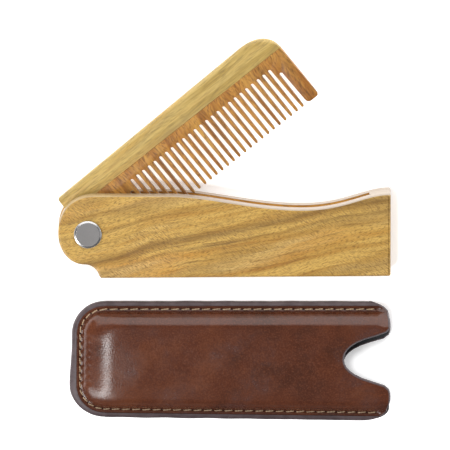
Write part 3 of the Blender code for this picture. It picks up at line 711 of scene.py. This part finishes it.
def build_rivet(satin, polished, brass):
    face = rivet_high.z
    seat = scale_high.z + GLUE_LINE
    foot = rivet_low.z
    bore = BARREL_RADIUS - 0.95
    profile = [(bore, foot), (BARREL_RADIUS, foot), (BARREL_RADIUS, seat), (RIVET_RADIUS, seat)]
    polish = [0, 0, 1, 1]
    bevel = arc((RIVET_RADIUS - 0.34, face - 0.42), 0.34, 0, 62, 5)
    profile += bevel
    polish += [1] * len(bevel)
    lip = arc((RIVET_FACE_RADIUS - 0.02, face - 0.12), 0.12, 60, 90, 3)
    profile += lip
    polish += [1] * (len(lip) - 1) + [0]
    profile += [(RIVET_FACE_RADIUS - 0.1, face), (2.6, face - 0.012)]
    profile += [(1.2, face - 0.02), (AXIS_RADIUS, face - 0.022)]
    polish += [0, 0, 0, 0]
    profile += [(AXIS_RADIUS, scale_high.z - 2.0), (bore, scale_high.z - 2.0)]
    polish += [0, 0]
    post = turned("visual_rivet_post", profile, HANDLE_FRAME, [satin, polished], polish)
    settle(post, "handle", "rivet_steel", "pivot_rivet_post")

    low, high = cap_low.z, back_low.z + 1.0
    bevel = arc((RIVET_RADIUS - 0.3, low + 0.3), 0.3, 270, 360, 5)
    profile = [(AXIS_RADIUS, low), (RIVET_FACE_RADIUS, low)] + bevel
    profile += [(RIVET_RADIUS, high), (1.5, high), (1.5, cap_high.z - 0.5), (1.0, cap_high.z)]
    profile += [(AXIS_RADIUS, cap_high.z)]
    polish = [0] + [1] * (len(bevel) + 1) + [0] * 5
    cap = turned("visual_rivet_cap", profile, HANDLE_FRAME, [satin, polished], polish)
    settle(cap, "handle", "rivet_steel", "pivot_rivet_cap")

    for side in ("back", "front"):
        low, high = box_mm(f"pivot_washer_{side}")
        outer = (high.x - low.x) / 2
        inner = BARREL_RADIUS + BARREL_PLAY
        edge = 0.05
        profile = [(inner, low.z), (outer - edge, low.z), (outer, low.z + edge)]
        profile += [(outer, high.z - edge), (outer - edge, high.z), (inner, high.z)]
        washer = turned(f"visual_washer_{side}", profile, HANDLE_FRAME, [brass])
        settle(washer, "handle", "washer_brass", f"pivot_washer_{side}")


# ---- blade


def gap_half_width(y):
    share = (GAP_ROOT - y) / (GAP_ROOT + TEETH_REACH)
    return (GAP_AT_ROOT + (GAP_AT_TIP - GAP_AT_ROOT) * share) / 2


class PlateOutline:
    """The tooth plate's outline, with the thickness at each point and the fold across each tooth."""

    def __init__(self):
        self.points = []
        self.halves = []
        self.body = []
        self.teeth = []

    def add(self, x, y, fold=None):
        half = PLATE_THICKNESS / 2
        if fold is not None and y < fold:
            tip_half = TOOTH_TIP_THICKNESS / 2
            share = (y + TEETH_REACH) / (fold + TEETH_REACH)
            half = tip_half + (half - tip_half) * math.sqrt(max(share, 0.0))
        self.points.append((x, y))
        self.halves.append(half)
        return len(self.points) - 1

    def add_body(self, x, y):
        self.body.append(self.add(x, y))

    def add_gap(self, centre, root):
        half = gap_half_width(root)
        for x, y in arc((centre, root - half), half, 180, 0, 8):
            self.add_body(x, y)

    def add_tooth(self, left_gap, fold, tip, tip_height, right_side):
        """One tooth: down its left side, round its tip and up to the right, in pairs for cross bars.

        right_side gives the place of the tooth's right side at a height.
        """
        levels = [fold + (tip_height - TEETH_REACH - fold) * index / 5 for index in range(5)]
        places = [(left_gap + gap_half_width(y), y) for y in levels]
        places += tip
        places += [(right_side(y), y) for y in reversed(levels)]
        tooth = [self.add(x, y, fold) for x, y in places]
        self.body += [tooth[0], tooth[-1]]
        self.teeth.append(tooth)

    def add_fine_tooth(self, left_gap, right_gap, fold):
        radius = (right_gap - left_gap) / 2 - gap_half_width(-TEETH_REACH)
        top = radius * TIP_LENGTH - TEETH_REACH
        tip = arc(((left_gap + right_gap) / 2, top), radius, 180, 360, 12)
        tip = [(x, top + (y - top) * TIP_LENGTH) for x, y in tip]
        self.add_tooth(left_gap, fold, tip, radius, lambda y: right_gap - gap_half_width(y))

    def add_end_tooth(self, left_gap, fold):
        inner, outer = 1.5, 1.0
        left = left_gap + gap_half_width(-TEETH_REACH)
        tip = arc((left + inner, inner - TEETH_REACH), inner, 180, 270, 6)
        tip += arc((BLADE_LENGTH - outer, outer - TEETH_REACH), outer, 270, 360, 6)
        self.add_tooth(left_gap, fold, tip, inner, lambda y: BLADE_LENGTH)

    def tooth_faces(self, tooth):
        """Cross bars from one side of a tooth to the other, so that its taper stays smooth."""
        faces = []
        low, high = 0, len(tooth) - 1
        while high - low > 2:
            faces.append((tooth[low], tooth[low + 1], tooth[high - 1], tooth[high]))
            low += 1
            high -= 1
        if high - low == 2:
            faces.append((tooth[low], tooth[low + 1], tooth[high]))
        return faces


def plate_outline():
    plate = PlateOutline()
    top = JOINT_LINE - GLUE_LINE / 2
    room = BLADE_LENGTH - END_TOOTH_WIDTH - FIRST_GAP
    count = 1 + int(room / TOOTH_PITCH)
    gaps = [FIRST_GAP + TOOTH_PITCH * index for index in range(count)]
    roots = [SHORT_GAP_ROOT if index in (0, count - 1) else GAP_ROOT for index in range(count)]
    first_right = gaps[0] - gap_half_width(-TEETH_REACH)
    first_left = first_right - FIRST_TOOTH_WIDTH
    corner = 1.0
    plate.add_body(first_left - TANG_RUN, -top)
    plate.add_body(first_left, corner - TEETH_REACH)
    for x, y in arc((first_left + corner, corner - TEETH_REACH), corner, 200, 270, 4):
        plate.add_body(x, y)
    for x, y in arc((first_right - corner, corner - TEETH_REACH), corner, 270, 360, 6):
        plate.add_body(x, y)
    for index in range(count):
        plate.add_gap(gaps[index], roots[index])
        if index + 1 < count:
            fold = min(roots[index], roots[index + 1]) - GAP_AT_ROOT
            plate.add_fine_tooth(gaps[index], gaps[index + 1], fold)
    plate.add_end_tooth(gaps[-1], roots[-1] - GAP_AT_ROOT)
    plate.add_body(BLADE_LENGTH, top)
    for x, y in arc((0, 0), top, 90, 270, 48):
        plate.add_body(x, y)
    return plate


def build_tooth_plate(finish):
    """The plate with every rim softened, the teeth thinning towards their tips."""
    plate = plate_outline()
    count = len(plate.points)
    middle = (plate_low.z + plate_high.z) / 2
    rings = []
    for side in (-1, 1):
        steps = []
        for index in range(4):
            angle = math.radians(90 * index / 3)
            steps.append((TOOTH_RIM * (1 - math.sin(angle)), TOOTH_RIM * (1 - math.cos(angle))))
        if side == 1:
            steps.reverse()
        for distance, drop in steps:
            moved = zip(inset(plate.points, distance), plate.halves)
            rings.append([(x, y, middle + side * (half - drop)) for (x, y), half in moved])
    points = [point for ring in rings for point in ring]
    faces = ring_faces(len(rings), count)
    top_start = (len(rings) - 1) * count
    flat = [tuple(plate.body)]
    for tooth in plate.teeth:
        flat += plate.tooth_faces(tooth)
    for face in flat:
        faces.append(face)
        faces.append(tuple(top_start + index for index in face))
    made = mesh_piece("visual_tooth_plate", points, faces, BLADE_FRAME, [finish])
    cut(made, [cylinder(BARREL_RADIUS + BARREL_PLAY, 0, 13, BLADE_FRAME)])
    settle(made, "blade", "tooth_wood", "comb_tooth_plate")


def build_spine(finish):
    corner_start = (BLADE_LENGTH - SPINE_CORNER, SPINE_AT_TIP)
    corner_end = (BLADE_LENGTH, JOINT_LINE)
    steps = 40
    outline = [(-BUTT_OVERHANG, JOINT_LINE), corner_end]
    outline += bezier(
        corner_end,
        (BLADE_LENGTH, JOINT_LINE + (SPINE_AT_TIP - JOINT_LINE) * 0.62),
        (BLADE_LENGTH - SPINE_CORNER * 0.42, SPINE_AT_TIP),
        corner_start,
        steps,
    )
    nick = 0.5
    outline += [
        (nick * 1.4 - BUTT_OVERHANG, SPINE_AT_BUTT + 0.02),
        (nick * 0.6 - BUTT_OVERHANG, SPINE_AT_BUTT - nick * 0.25),
        (nick * 0.15 - BUTT_OVERHANG, SPINE_AT_BUTT - nick * 0.7),
        (-BUTT_OVERHANG, SPINE_AT_BUTT - nick * 1.3),
    ]
    weights = [0.0, 0.0] + [min(1.0, 0.15 + index * 0.06) for index in range(1, steps + 1)]
    weights += [1.0, 0.6, 0.3, 0.12]
    heights = (plate_low.z, plate_high.z)
    rims = (SPINE_RIM, SPINE_RIM)
    spine = slab("visual_spine", outline, heights, BLADE_FRAME, [finish], rims, weights)
    settle(spine, "blade", "spine_wood", "comb_spine")


# ---- sheath


def mouth_curve(notch):
    """The mouth as points from the top edge round both lips to the bottom edge."""
    tip = SHEATH_LENGTH
    sweep = tip - LIP_DEPTH - MOUTH_SWEEP
    edge = SHEATH_HALF + MOUTH_FLARE * sweep / SHEATH_LENGTH
    lip = LIP_HALF - NOTCH_HALF
    path = []
    for side in (1, -1):
        lip_tip = (tip, notch + side * (LIP_HALF + 0.4))
        lip_root = (tip - LIP_DEPTH, notch + side * NOTCH_HALF)
        start = (sweep, side * edge)
        deepest = (tip - NOTCH_DEPTH, notch)
        run = [start]
        square = 0.0 if side == 1 else 1.5
        pulls = (
            (tip - LIP_DEPTH * 1.2 + square, side * (edge + 0.3)),
            (tip, side * (edge - 2.2 + square * 0.6)),
        )
        run += bezier(start, *pulls, lip_tip, 30)
        pulls = (
            (tip, lip_tip[1] - side * lip * 0.75),
            (tip - LIP_DEPTH * 0.4, lip_root[1] + side * lip * 0.2),
        )
        run += bezier(lip_tip, *pulls, lip_root, 16)
        pulls = (
            (tip - LIP_DEPTH - 5.7, lip_root[1] - side * 1.3),
            (deepest[0], notch + side * NOTCH_HALF * 0.55),
        )
        run += bezier(lip_root, *pulls, deepest, 30)
        path = run if side == 1 else path + run[::-1][1:]
    return path


class Mouth:
    """How far along the sheath one half reaches, at each height across it."""

    def __init__(self, notch):
        self.path = mouth_curve(notch)

    def reach(self, y):
        for (x0, y0), (x1, y1) in zip(self.path, self.path[1:]):
            if y1 <= y <= y0:
                return x0 + (x1 - x0) * (y0 - y) / max(y0 - y1, 1e-9)
        return self.path[0][0]


def rail(mouth, side, end, corner, shrink=0.0, back_off=0.0):
    """Points round three sides of the sheath, from the mouth along the top and back to the mouth."""

    def edge_y(x):
        return (SHEATH_HALF - side + MOUTH_FLARE * x / SHEATH_LENGTH) * (1 - shrink)

    turn_x = end + corner
    start_y = (SHEATH_HALF - side) * (1 - shrink)
    centre_y = start_y - corner

    def run(sign):
        x = mouth.reach(sign * edge_y(SHEATH_LENGTH))
        for _ in range(3):
            x = mouth.reach(sign * edge_y(x)) - back_off
        points = []
        for index in range(RUN_COLUMNS):
            along = turn_x + (x - turn_x) * (1 - index / RUN_COLUMNS)
            points.append((along, sign * edge_y(along)))
        return points

    points = run(1)
    points += arc((turn_x, centre_y), corner, 90, 180, CORNER_COLUMNS)
    for index in range(1, END_COLUMNS):
        points.append((end, centre_y - 2 * centre_y * index / END_COLUMNS))
    points += arc((turn_x, -centre_y), corner, 180, 270, CORNER_COLUMNS)
    return points + run(-1)[::-1]


def edge_rail(mouth, distance):
    return rail(mouth, distance, distance, SHEATH_CORNER - distance)


def shoulder_rows(mouth, foot, rim, height):
    """Rows up the moulded shoulder and over the flat top to the centreline."""
    low = edge_rail(mouth, foot)
    side, end = FOOT_INSET + SIDE_SHOULDER, FOOT_INSET + END_SHOULDER
    high = rail(mouth, side, end, PLATEAU_CORNER)
    rows = []
    shoulder_top = height - CROWN
    for step in range(SHOULDER_ROWS + 1):
        angle = math.radians(90 * step / SHOULDER_ROWS)
        across = 1 - math.cos(angle)
        up = rim + (shoulder_top - rim) * math.sin(angle)
        row = [Vector(a).lerp(Vector(b), across) for a, b in zip(low, high)]
        rows.append([(place.x, place.y, up) for place in row])
    for step in range(1, TOP_ROWS + 1):
        shrink = step / TOP_ROWS
        centre = end + (SHEATH_HALF - side) * shrink
        flat = rail(mouth, side, centre, PLATEAU_CORNER * (1 - shrink), shrink)
        up = shoulder_top + CROWN * (1 - (1 - shrink) ** 2)
        rows.append([(x, y, up) for x, y in flat])
    return rows


def soften(x, distance, height):
    """Past the last stitch the shoulder flattens out towards the mouth."""
    share = smooth((x - (SHEATH_LENGTH - THREAD_STOP)) / 3.2)
    if share == 0 or distance > FOOT_INSET + SIDE_SHOULDER:
        return height
    rise = smooth((distance - COAT_WIDTH) / (FOOT_INSET + SIDE_SHOULDER - COAT_WIDTH))
    eased = RIM_HEIGHT + (SEAM_HEIGHT - CROWN - RIM_HEIGHT) * rise
    return height + (eased - height) * share


def groove_depth(distance):
    away = abs(distance - STITCH_INSET)
    return GROOVE_DEPTH * (1 - smooth(away / GROOVE_HALF))


RIM_INSETS = (2.0, 2.3, 2.5, 2.65, 2.8, 2.9, 3.0, 3.15, 3.3, 3.45)
PUCKER_FADE = (0.4, 0.7, 1.0, 1.0, 0.8, 0.55, 0.3, 0.12)


def pucker_phases(mouth):
    """For each column, how near it is to a needle hole: 1 at a hole and 0 midway."""
    route = edge_rail(mouth, STITCH_INSET)
    line, line_lengths = stitch_line()
    stations = stitch_stations(line, line_lengths)
    start = math.dist(route[0], line[0])
    phases = []
    for length in running_lengths(route):
        along = length - start
        if not 0 <= along <= stations[-1]:
            phases.append(0.0)
            continue
        index = max(i for i, station in enumerate(stations[:-1]) if station <= along)
        share = (along - stations[index]) / (stations[index + 1] - stations[index])
        phases.append(math.cos(math.pi * share) ** 2)
    return phases


def outer_rows(mouth):
    """The leather's outside: round its cut edge, over the sewn rim, up the shoulder and over."""
    rows = []
    low = GLUE_LINE / 2 + LINING + GLUE_LINE
    first = math.degrees(math.asin(low / RIM_HEIGHT))
    for step in range(EDGE_ROWS):
        angle = math.radians(first + (90 - first) * step / (EDGE_ROWS - 1))
        distance = CUT_EDGE_INSET + (COAT_WIDTH + GLUE_LINE - CUT_EDGE_INSET) * (1 - math.cos(angle))
        rows.append([(x, y, RIM_HEIGHT * math.sin(angle)) for x, y in edge_rail(mouth, distance)])
    phases = pucker_phases(mouth)
    for distance in RIM_INSETS:
        pull = RIM_PUCKER * smooth((distance - RIM_INSETS[0]) / 0.9)
        row = []
        for (x, y), phase in zip(edge_rail(mouth, distance), phases):
            height = RIM_HEIGHT - groove_depth(distance) - pull * phase
            row.append((x, y, soften(x, distance, height)))
        rows.append(row)
    shoulder = shoulder_rows(mouth, FOOT_INSET, RIM_HEIGHT, SEAM_HEIGHT)
    for index in range(SHOULDER_ROWS + 1):
        pull = SHOULDER_PUCKER * PUCKER_FADE[index] if index < len(PUCKER_FADE) else 0.0
        distance = FOOT_INSET + SIDE_SHOULDER * (1 - math.cos(math.radians(90 * index / SHOULDER_ROWS)))
        row = zip(shoulder[index], phases)
        shoulder[index] = [(x, y, soften(x, distance, z - pull * phase)) for (x, y, z), phase in row]
    return rows + shoulder


def layer_rows(mouth, flat_rows, low, foot, height, first_inset):
    """One inner surface: flat between the two halves' rims, then up inside the shoulder."""
    rows = []
    for step in range(flat_rows):
        distance = first_inset + (foot - 0.1 - first_inset) * step / (flat_rows - 1)
        rows.append([(x, y, low) for x, y in edge_rail(mouth, distance)])
    return rows + shoulder_rows(mouth, foot, low, height)


def uneven(rows, side):
    """Leather is never quite flat: a shallow, slow wander of its top, always towards the seam."""

    def lowered(x, y, z):
        lift = smooth((z - RIM_HEIGHT) / (SEAM_HEIGHT - RIM_HEIGHT))
        wander = 0.5 + 0.5 * noise.noise(Vector((x / 17.0, y / 9.0, side * 3.0)))
        return (x, y, z - TOP_WANDER * lift * wander)

    return [[lowered(*point) for point in row] for row in rows]


def closed_layer(name, outer, inner, side, finish):
    """The solid between two surfaces that have the same rows and columns."""
    size = len(outer[0])
    rows = len(outer)
    points = [(x, y, z * side) for row in outer + inner for x, y, z in row]
    shift = rows * size
    faces = ring_faces(rows, size, wrap_points=False)
    faces += [tuple(shift + index for index in face) for face in faces]
    for index in range(size - 1):
        faces.append((index, index + 1, shift + index + 1, shift + index))
    for column in (0, size - 1):
        for row in range(rows - 1):
            low, high = row * size + column, (row + 1) * size + column
            faces.append((low, high, shift + high, shift + low))
    made = mesh_piece(name, points, faces, SHEATH_FRAME, [finish])
    clean_collapsed(made)
    return made


def clean_collapsed(made):
    """Drops the faces that closed up where the rows meet on the centreline."""
    work = bmesh.new()
    work.from_mesh(made.data)
    bmesh.ops.dissolve_degenerate(work, dist=1e-7, edges=work.edges)
    bmesh.ops.recalc_face_normals(work, faces=work.faces)
    work.to_mesh(made.data)
    work.free()
    shade(made.data, 40)


def build_halves(leather_finish, lining_finish, coat_finish):
    for half, side, notch in (("front", 1, FRONT_NOTCH), ("back", -1, BACK_NOTCH)):
        mouth = Mouth(notch)
        low = GLUE_LINE / 2 + LINING + GLUE_LINE
        flat_rows = EDGE_ROWS + len(RIM_INSETS)
        inner = layer_rows(mouth, flat_rows, low, FOOT_INSET + 0.8, SEAM_HEIGHT - LEATHER, 0.55)
        outer = uneven(outer_rows(mouth), side)
        panel = closed_layer(f"visual_{half}_panel", outer, uneven(inner, side), side, leather_finish)
        settle(panel, "sheath", "leather", f"sheath_{half}_panel")

        face = SEAM_HEIGHT - LEATHER - GLUE_LINE
        outside = layer_rows(mouth, 3, low - GLUE_LINE, FOOT_INSET + 0.85, face, 0.6)
        inside = layer_rows(mouth, 3, GLUE_LINE / 2, FOOT_INSET + 0.85 + LINING, face - LINING, 0.6)
        inside = uneven(inside, side)
        liner = closed_layer(f"visual_{half}_lining", uneven(outside, side), inside, side, lining_finish)
        settle(liner, "sheath", "lining", f"sheath_{half}_lining")
        build_mouth_coat(half, side, outer, inside, coat_finish)


def mouth_edge(rows):
    """The ends of the rows, from the mouth's top over the centreline to its bottom."""
    return [row[0] for row in rows] + [row[-1] for row in rows][::-1][1:]


def build_mouth_coat(half, side, outer, inside, finish):
    """The painted bead that closes each half's cut edge, from the leather to the lining."""
    columns = []
    steps = 6
    tops = mouth_edge(outer[1:])
    inners = mouth_edge(inside)

    def inner_at(y):
        for a, b in zip(inners, inners[1:]):
            if b[1] <= y <= a[1]:
                share = (a[1] - y) / max(a[1] - b[1], 1e-9)
                return Vector(a).lerp(Vector(b), share)
        return Vector(inners[0] if y > inners[0][1] else inners[-1])

    for index, top in enumerate(tops):
        before = Vector(tops[max(index - 1, 0)])
        after = Vector(tops[min(index + 1, len(tops) - 1)])
        tangent = after - before
        outward = Vector((-tangent.y, tangent.x, 0)).normalized()
        inner = inner_at(top[1])
        inner = Vector((top[0], top[1], min(inner.z, top[2] - 0.3)))
        upper = Vector(top)
        depth = upper.z - inner.z
        lapped = outward * BEAD_LAP
        column = [upper - lapped + Vector((0, 0, 0.015))]
        for step in range(steps + 1):
            angle = math.pi * step / steps
            out = BEAD_BULGE * math.sin(angle) ** 0.7 if 0 < step < steps else 0.03
            height = upper.z + 0.05 - (depth + 0.07) * step / steps
            column.append(Vector((upper.x, upper.y, height)) + outward * out)
        column.append(inner - lapped - Vector((0, 0, 0.02)))
        column.append(inner - lapped + Vector((0, 0, 0.1)))
        column.append(upper - lapped - Vector((0, 0, 0.1)))
        columns.append([(p.x, p.y, p.z * side) for p in column])
    size = len(columns[0])
    points = [point for column in columns for point in column]
    faces = ring_faces(len(columns), size)
    faces.append(tuple(range(size)))
    faces.append(tuple(range(len(points) - size, len(points))))
    made = mesh_piece(f"visual_{half}_mouth_coat", points, faces, SHEATH_FRAME, [finish])
    settle(made, "sheath", "edge_paint", f"sheath_{half}_mouth_coat")


def coat_drift(x, y):
    """How far the soft edge has been pushed out of true, in millimetres along x and y."""
    bulge = -0.75 * math.exp(-(((y + 9) / 9) ** 2)) * smooth(1 - x / 9)
    wave = 0.16 * noise.noise(Vector((x / 7.0, y / 7.0, 7.0)))
    return bulge + wave * 0.5, wave * (1 if y > 0 else -1) - 0.28


def build_edge_coat(finish):
    """The thick painted edge, a C in section, a little uneven along its length."""
    mouths = {1: Mouth(FRONT_NOTCH), -1: Mouth(BACK_NOTCH)}
    section = []
    steps = 14
    outer = 0.1
    for index in range(steps + 1):
        angle = math.radians(-90 + 180 * index / steps)
        distance = outer + (COAT_WIDTH - outer) * (1 - math.cos(angle))
        section.append((distance, (RIM_HEIGHT + COAT_PROUD) * math.sin(angle), math.cos(angle)))
    for index in range(steps + 1):
        angle = math.radians(90 - 180 * index / steps)
        distance = CUT_EDGE_INSET + (COAT_WIDTH - CUT_EDGE_INSET) * (1 - math.cos(angle))
        section.append((distance, (RIM_HEIGHT + GLUE_LINE) * math.sin(angle), 0.0))
    rows = []
    for distance, height, loose in section:
        mouth = mouths[1 if height > 0 else -1]
        row = []
        for x, y in edge_rail(mouth, distance):
            swell = 1 + loose * 0.08 * noise.noise(Vector((x / 6.0, y / 6.0, 2.0)))
            along, out = coat_drift(x, y)
            row.append((x + along * loose, y + out * loose, height * swell))
        rows.append(row)
    size = len(rows[0])
    points = [point for row in rows for point in row]
    faces = ring_faces(len(rows), size, wrap_rings=True, wrap_points=False)
    faces.append(tuple(index * size for index in range(len(rows))))
    faces.append(tuple(index * size + size - 1 for index in range(len(rows))))
    made = mesh_piece("visual_edge_coat", points, faces, SHEATH_FRAME, [finish])
    settle(made, "sheath", "edge_paint", "sheath_edge_coat")


# ---- stitches

SIDE_STITCH = 3.43
END_STITCH = 2.7
PLY_RADIUS = 0.13
PLY_OFFSET = 0.10
PLY_SIDES = 7
THREAD_STOP = 4.6


def running_lengths(route):
    lengths = [0.0]
    for a, b in zip(route, route[1:]):
        lengths.append(lengths[-1] + math.dist(a, b))
    return lengths


def stitch_line():
    """The seam's route with its length at each point, from the mouth's top end to its bottom end."""
    mouth = Mouth(0.0)
    route = [point for point in edge_rail(mouth, STITCH_INSET) if point[0] < SHEATH_LENGTH - THREAD_STOP]
    return route, running_lengths(route)


def along_line(route, lengths, distance):
    distance = min(max(distance, 0.0), lengths[-1] - 1e-6)
    for index in range(len(route) - 1):
        if lengths[index + 1] >= distance:
            share = (distance - lengths[index]) / max(lengths[index + 1] - lengths[index], 1e-9)
            a, b = Vector(route[index]), Vector(route[index + 1])
            return a.lerp(b, share), (b - a).normalized()
    return Vector(route[-1]), Vector((1, 0))


def stitch_stations(route, lengths):
    """Where the needle went in, closer together round the closed end."""
    stations = [0.0]
    while stations[-1] < lengths[-1] - END_STITCH:
        point, _ = along_line(route, lengths, stations[-1])
        stations.append(stations[-1] + (END_STITCH if point.x < SHEATH_CORNER else SIDE_STITCH))
    return stations


def add_tube(points, faces, centres, radii, sides):
    """A closed tube through the centres, appended to the lists."""
    start = len(points)
    for index, centre in enumerate(centres):
        before = centres[max(index - 1, 0)]
        after = centres[min(index + 1, len(centres) - 1)]
        tangent = (after - before).normalized()
        across = tangent.cross(Vector((0, 0, 1))).normalized()
        up = across.cross(tangent).normalized()
        for side in range(sides):
            angle = 2 * math.pi * side / sides
            points.append(centre + (across * math.cos(angle) + up * math.sin(angle)) * radii[index])
    faces += [tuple(start + index for index in face) for face in ring_faces(len(centres), sides)]
    faces.append(tuple(start + side for side in range(sides)))
    last = start + (len(centres) - 1) * sides
    faces.append(tuple(last + side for side in range(sides)))


def build_stitches(thread, hole):
    route, lengths = stitch_line()
    stations = stitch_stations(route, lengths)
    for half, side in (("front", 1), ("back", -1)):
        points, faces = [], []
        base = RIM_HEIGHT - GROOVE_DEPTH
        for number, (start, end) in enumerate(zip(stations, stations[1:])):
            slant = 0.16 + 0.07 * noise.noise(Vector((number * 0.7, side, 0)))
            height = base + 0.12 + 0.05 * noise.noise(Vector((number * 0.9, side, 5)))
            steps = 14
            for ply in (0, math.pi):
                centres, radii = [], []
                for step in range(steps + 1):
                    share = step / steps
                    along = start + (end - start) * (0.06 + 0.88 * share)
                    point, tangent = along_line(route, lengths, along)
                    normal = Vector((-tangent.y, tangent.x))
                    dive = smooth(min(share, 1 - share) / 0.16)
                    turn = ply + share * 2 * math.pi * 1.6 + number
                    across = slant * (share - 0.5) * 2 + PLY_OFFSET * math.cos(turn)
                    z = base - 0.55 + (height - base + 0.55) * dive + PLY_OFFSET * math.sin(turn) * dive
                    place = point + normal * across
                    centres.append(Vector((place.x, place.y, z)))
                    radii.append(PLY_RADIUS * (0.75 + 0.25 * dive))
                add_tube(points, faces, centres, radii, PLY_SIDES)
        points = [(p.x, p.y, p.z * side) for p in points]
        made = mesh_piece(f"visual_{half}_stitches", points, faces, SHEATH_FRAME, [thread])
        settle(made, "sheath", "thread", f"sheath_{half}_thread")
        build_hole_shades(half, side, route, lengths, stations, hole)


def build_hole_shades(half, side, route, lengths, stations, finish):
    """Near-black slanted discs at the ends of every stitch, painted shade for the awl's holes."""
    points, faces = [], []
    sides = 14
    for station in stations:
        centre, tangent = along_line(route, lengths, station)
        normal = Vector((-tangent.y, tangent.x))
        long_way = (tangent * 0.6 + normal * 0.8).normalized()
        short_way = Vector((-long_way.y, long_way.x))
        start = len(points)
        for height in (0.0, -0.12):
            for index in range(sides):
                angle = 2 * math.pi * index / sides
                along = long_way * (0.34 * math.cos(angle))
                place = centre + along + short_way * (0.15 * math.sin(angle))
                points.append((place.x, place.y, side * (RIM_HEIGHT - 0.18 + height)))
        faces += [tuple(start + index for index in face) for face in ring_faces(2, sides)]
        faces.append(tuple(start + index for index in range(sides)))
        faces.append(tuple(start + sides + index for index in range(sides)))
    made = mesh_piece(f"visual_{half}_needle_holes", points, faces, SHEATH_FRAME, [finish])
    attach(made, "sheath")


# ---- stage

VIEW_LEAN = 11.5
VIEW_DISTANCE = 5.0
VIEW_WIDTH = 0.150
VIEW_CENTRE = Vector((0.18, 3.37, 12.9))


def build_camera():
    lens = bpy.data.cameras.new("camera")
    lens.sensor_width = 36.0
    lens.lens = lens.sensor_width * VIEW_DISTANCE / VIEW_WIDTH
    lens.clip_start = 0.1
    lens.clip_end = 20.0
    camera = bpy.data.objects.new("camera", lens)
    lean = math.radians(VIEW_LEAN)
    away = Vector((0, math.sin(lean), math.cos(lean)))
    camera.location = VIEW_CENTRE * MM + away * VIEW_DISTANCE
    camera.rotation_euler = (-lean, 0, 0)
    bpy.context.scene.collection.objects.link(camera)
    bpy.context.scene.camera = camera


def softbox(name, size, radiance, place):
    """A rectangular light that the camera doesn't see."""
    light = bpy.data.lights.new(name, "AREA")
    light.shape = "RECTANGLE"
    light.size, light.size_y = size
    light.energy = radiance * math.pi * size[0] * size[1]
    made = bpy.data.objects.new(name, light)
    made.matrix_world = place
    made.visible_camera = False
    bpy.context.scene.collection.objects.link(made)


def area_light(name, bearing, height, distance, size, radiance):
    """A softbox that faces the origin."""
    away = toward(bearing, height)
    turn = away.to_track_quat("Z", "Y").to_matrix().to_4x4()
    softbox(name, size, radiance, Matrix.Translation(away * distance) @ turn)


def toward(bearing, height):
    """The way to a compass angle from +X and an angle above the table, both in degrees."""
    b, h = math.radians(bearing), math.radians(height)
    return Vector((math.cos(b) * math.cos(h), math.sin(b) * math.cos(h), math.sin(h)))


def long_light(name, first, last, width, radiance, distance=1.2):
    """A strip softbox that reaches from one bearing and height to another, facing the object."""
    start, end = toward(*first) * distance, toward(*last) * distance
    run = end - start
    y_axis = run.normalized()
    z_axis = (start + end).normalized()
    x_axis = y_axis.cross(z_axis).normalized()
    turn = Matrix((x_axis, y_axis, z_axis)).transposed().to_4x4()
    softbox(name, (width, run.length), radiance, Matrix.Translation((start + end) / 2) @ turn)


def flat_sheet(name, half_width, near, far, height, finish):
    corners = [(-half_width, near), (half_width, near), (half_width, far), (-half_width, far)]
    points = [(x, y, height) for x, y in corners]
    sheet = mesh_piece(name, points, [(0, 1, 2, 3)], Matrix.Identity(4), [finish])
    return sheet


def build_black_card():
    """A black card on the near side of the table, as photographers use, seen only in reflections."""
    made = Finish("black_card", Roughness=0.9)
    fine = made.noise(made.position(), 1.0, 2.0, 0.5)
    tone = made.ramp(fine, [(0.3, (0.02, 0.02, 0.02)), (0.7, (0.03, 0.03, 0.03))])
    card = flat_sheet("black_card", 400, -600, -65.5, -0.05, made.set(Base_Color=tone))
    card.visible_camera = False
    card.visible_diffuse = False
    card.visible_shadow = False


def build_floor():
    """A white table lit from within like a light box, with a painted shadow right beside the object."""
    size = 3000.0
    made = Finish("table", IOR=1.3)
    paper = made.noise(made.position(), 0.5, 2.0, 0.5)
    tone = made.ramp(paper, [(0.3, (0.90, 0.90, 0.905)), (0.7, (0.92, 0.92, 0.925))])
    # Painted contact shadow: the emission drops where ambient occlusion finds the object close by.
    open_sky = made.node("AmbientOcclusion", {"Distance": 4.2 * MM}, "AO")
    glow = made.remap(open_sky, 0.82, 0.99, 0.35, 0.85)
    finish = made.set(
        Base_Color=tone,
        Roughness=0.9,
        Specular_IOR_Level=0.2,
        Emission_Color=(1.0, 1.0, 1.0, 1.0),
        Emission_Strength=glow,
    )
    flat_sheet("table", size, -size, size, -0.1, finish)


def build_light():
    world = bpy.data.worlds.new("studio")
    world.use_nodes = True
    sky = world.node_tree.nodes["Background"]
    sky.inputs["Color"].default_value = (0.98, 0.99, 1.0, 1.0)
    sky.inputs["Strength"].default_value = 0.18
    bpy.context.scene.world = world
    area_light("window", 90, 33, 1.2, (2.6, 1.62), 1.86)
    long_light("strip", (215, 71), (229, 40), 0.15, 19.0)
    long_light("corner", (224, 42), (209, 14), 0.4, 5.5)
    area_light("fill_right", 0, 30, 1.6, (1.2, 0.9), 1.3)
    build_black_card()


def build_stage():
    build_camera()
    build_floor()
    build_light()
    bpy.context.scene.view_settings.view_transform = "Standard"


# ---- all of it


def main():
    build_stage()
    wood_finish = handle_wood()
    build_handle(wood_finish, slot_wood(), edge_highlight_wood())
    satin = metal("rivet_satin", (0.27, 0.26, 0.257), 0.45, 2.5)
    polished = metal("rivet_polished", (0.58, 0.57, 0.565), 0.24, 1.5)
    brass = metal("washer_brass", (0.72, 0.55, 0.26), 0.3, 2.0)
    build_rivet(satin, polished, brass)
    build_tooth_plate(tooth_wood())
    build_spine(spine_wood())
    coat = edge_paint()
    build_halves(leather(), lining(), coat)
    build_edge_coat(coat)
    build_stitches(thread_finish(), needle_hole_shade())


main()
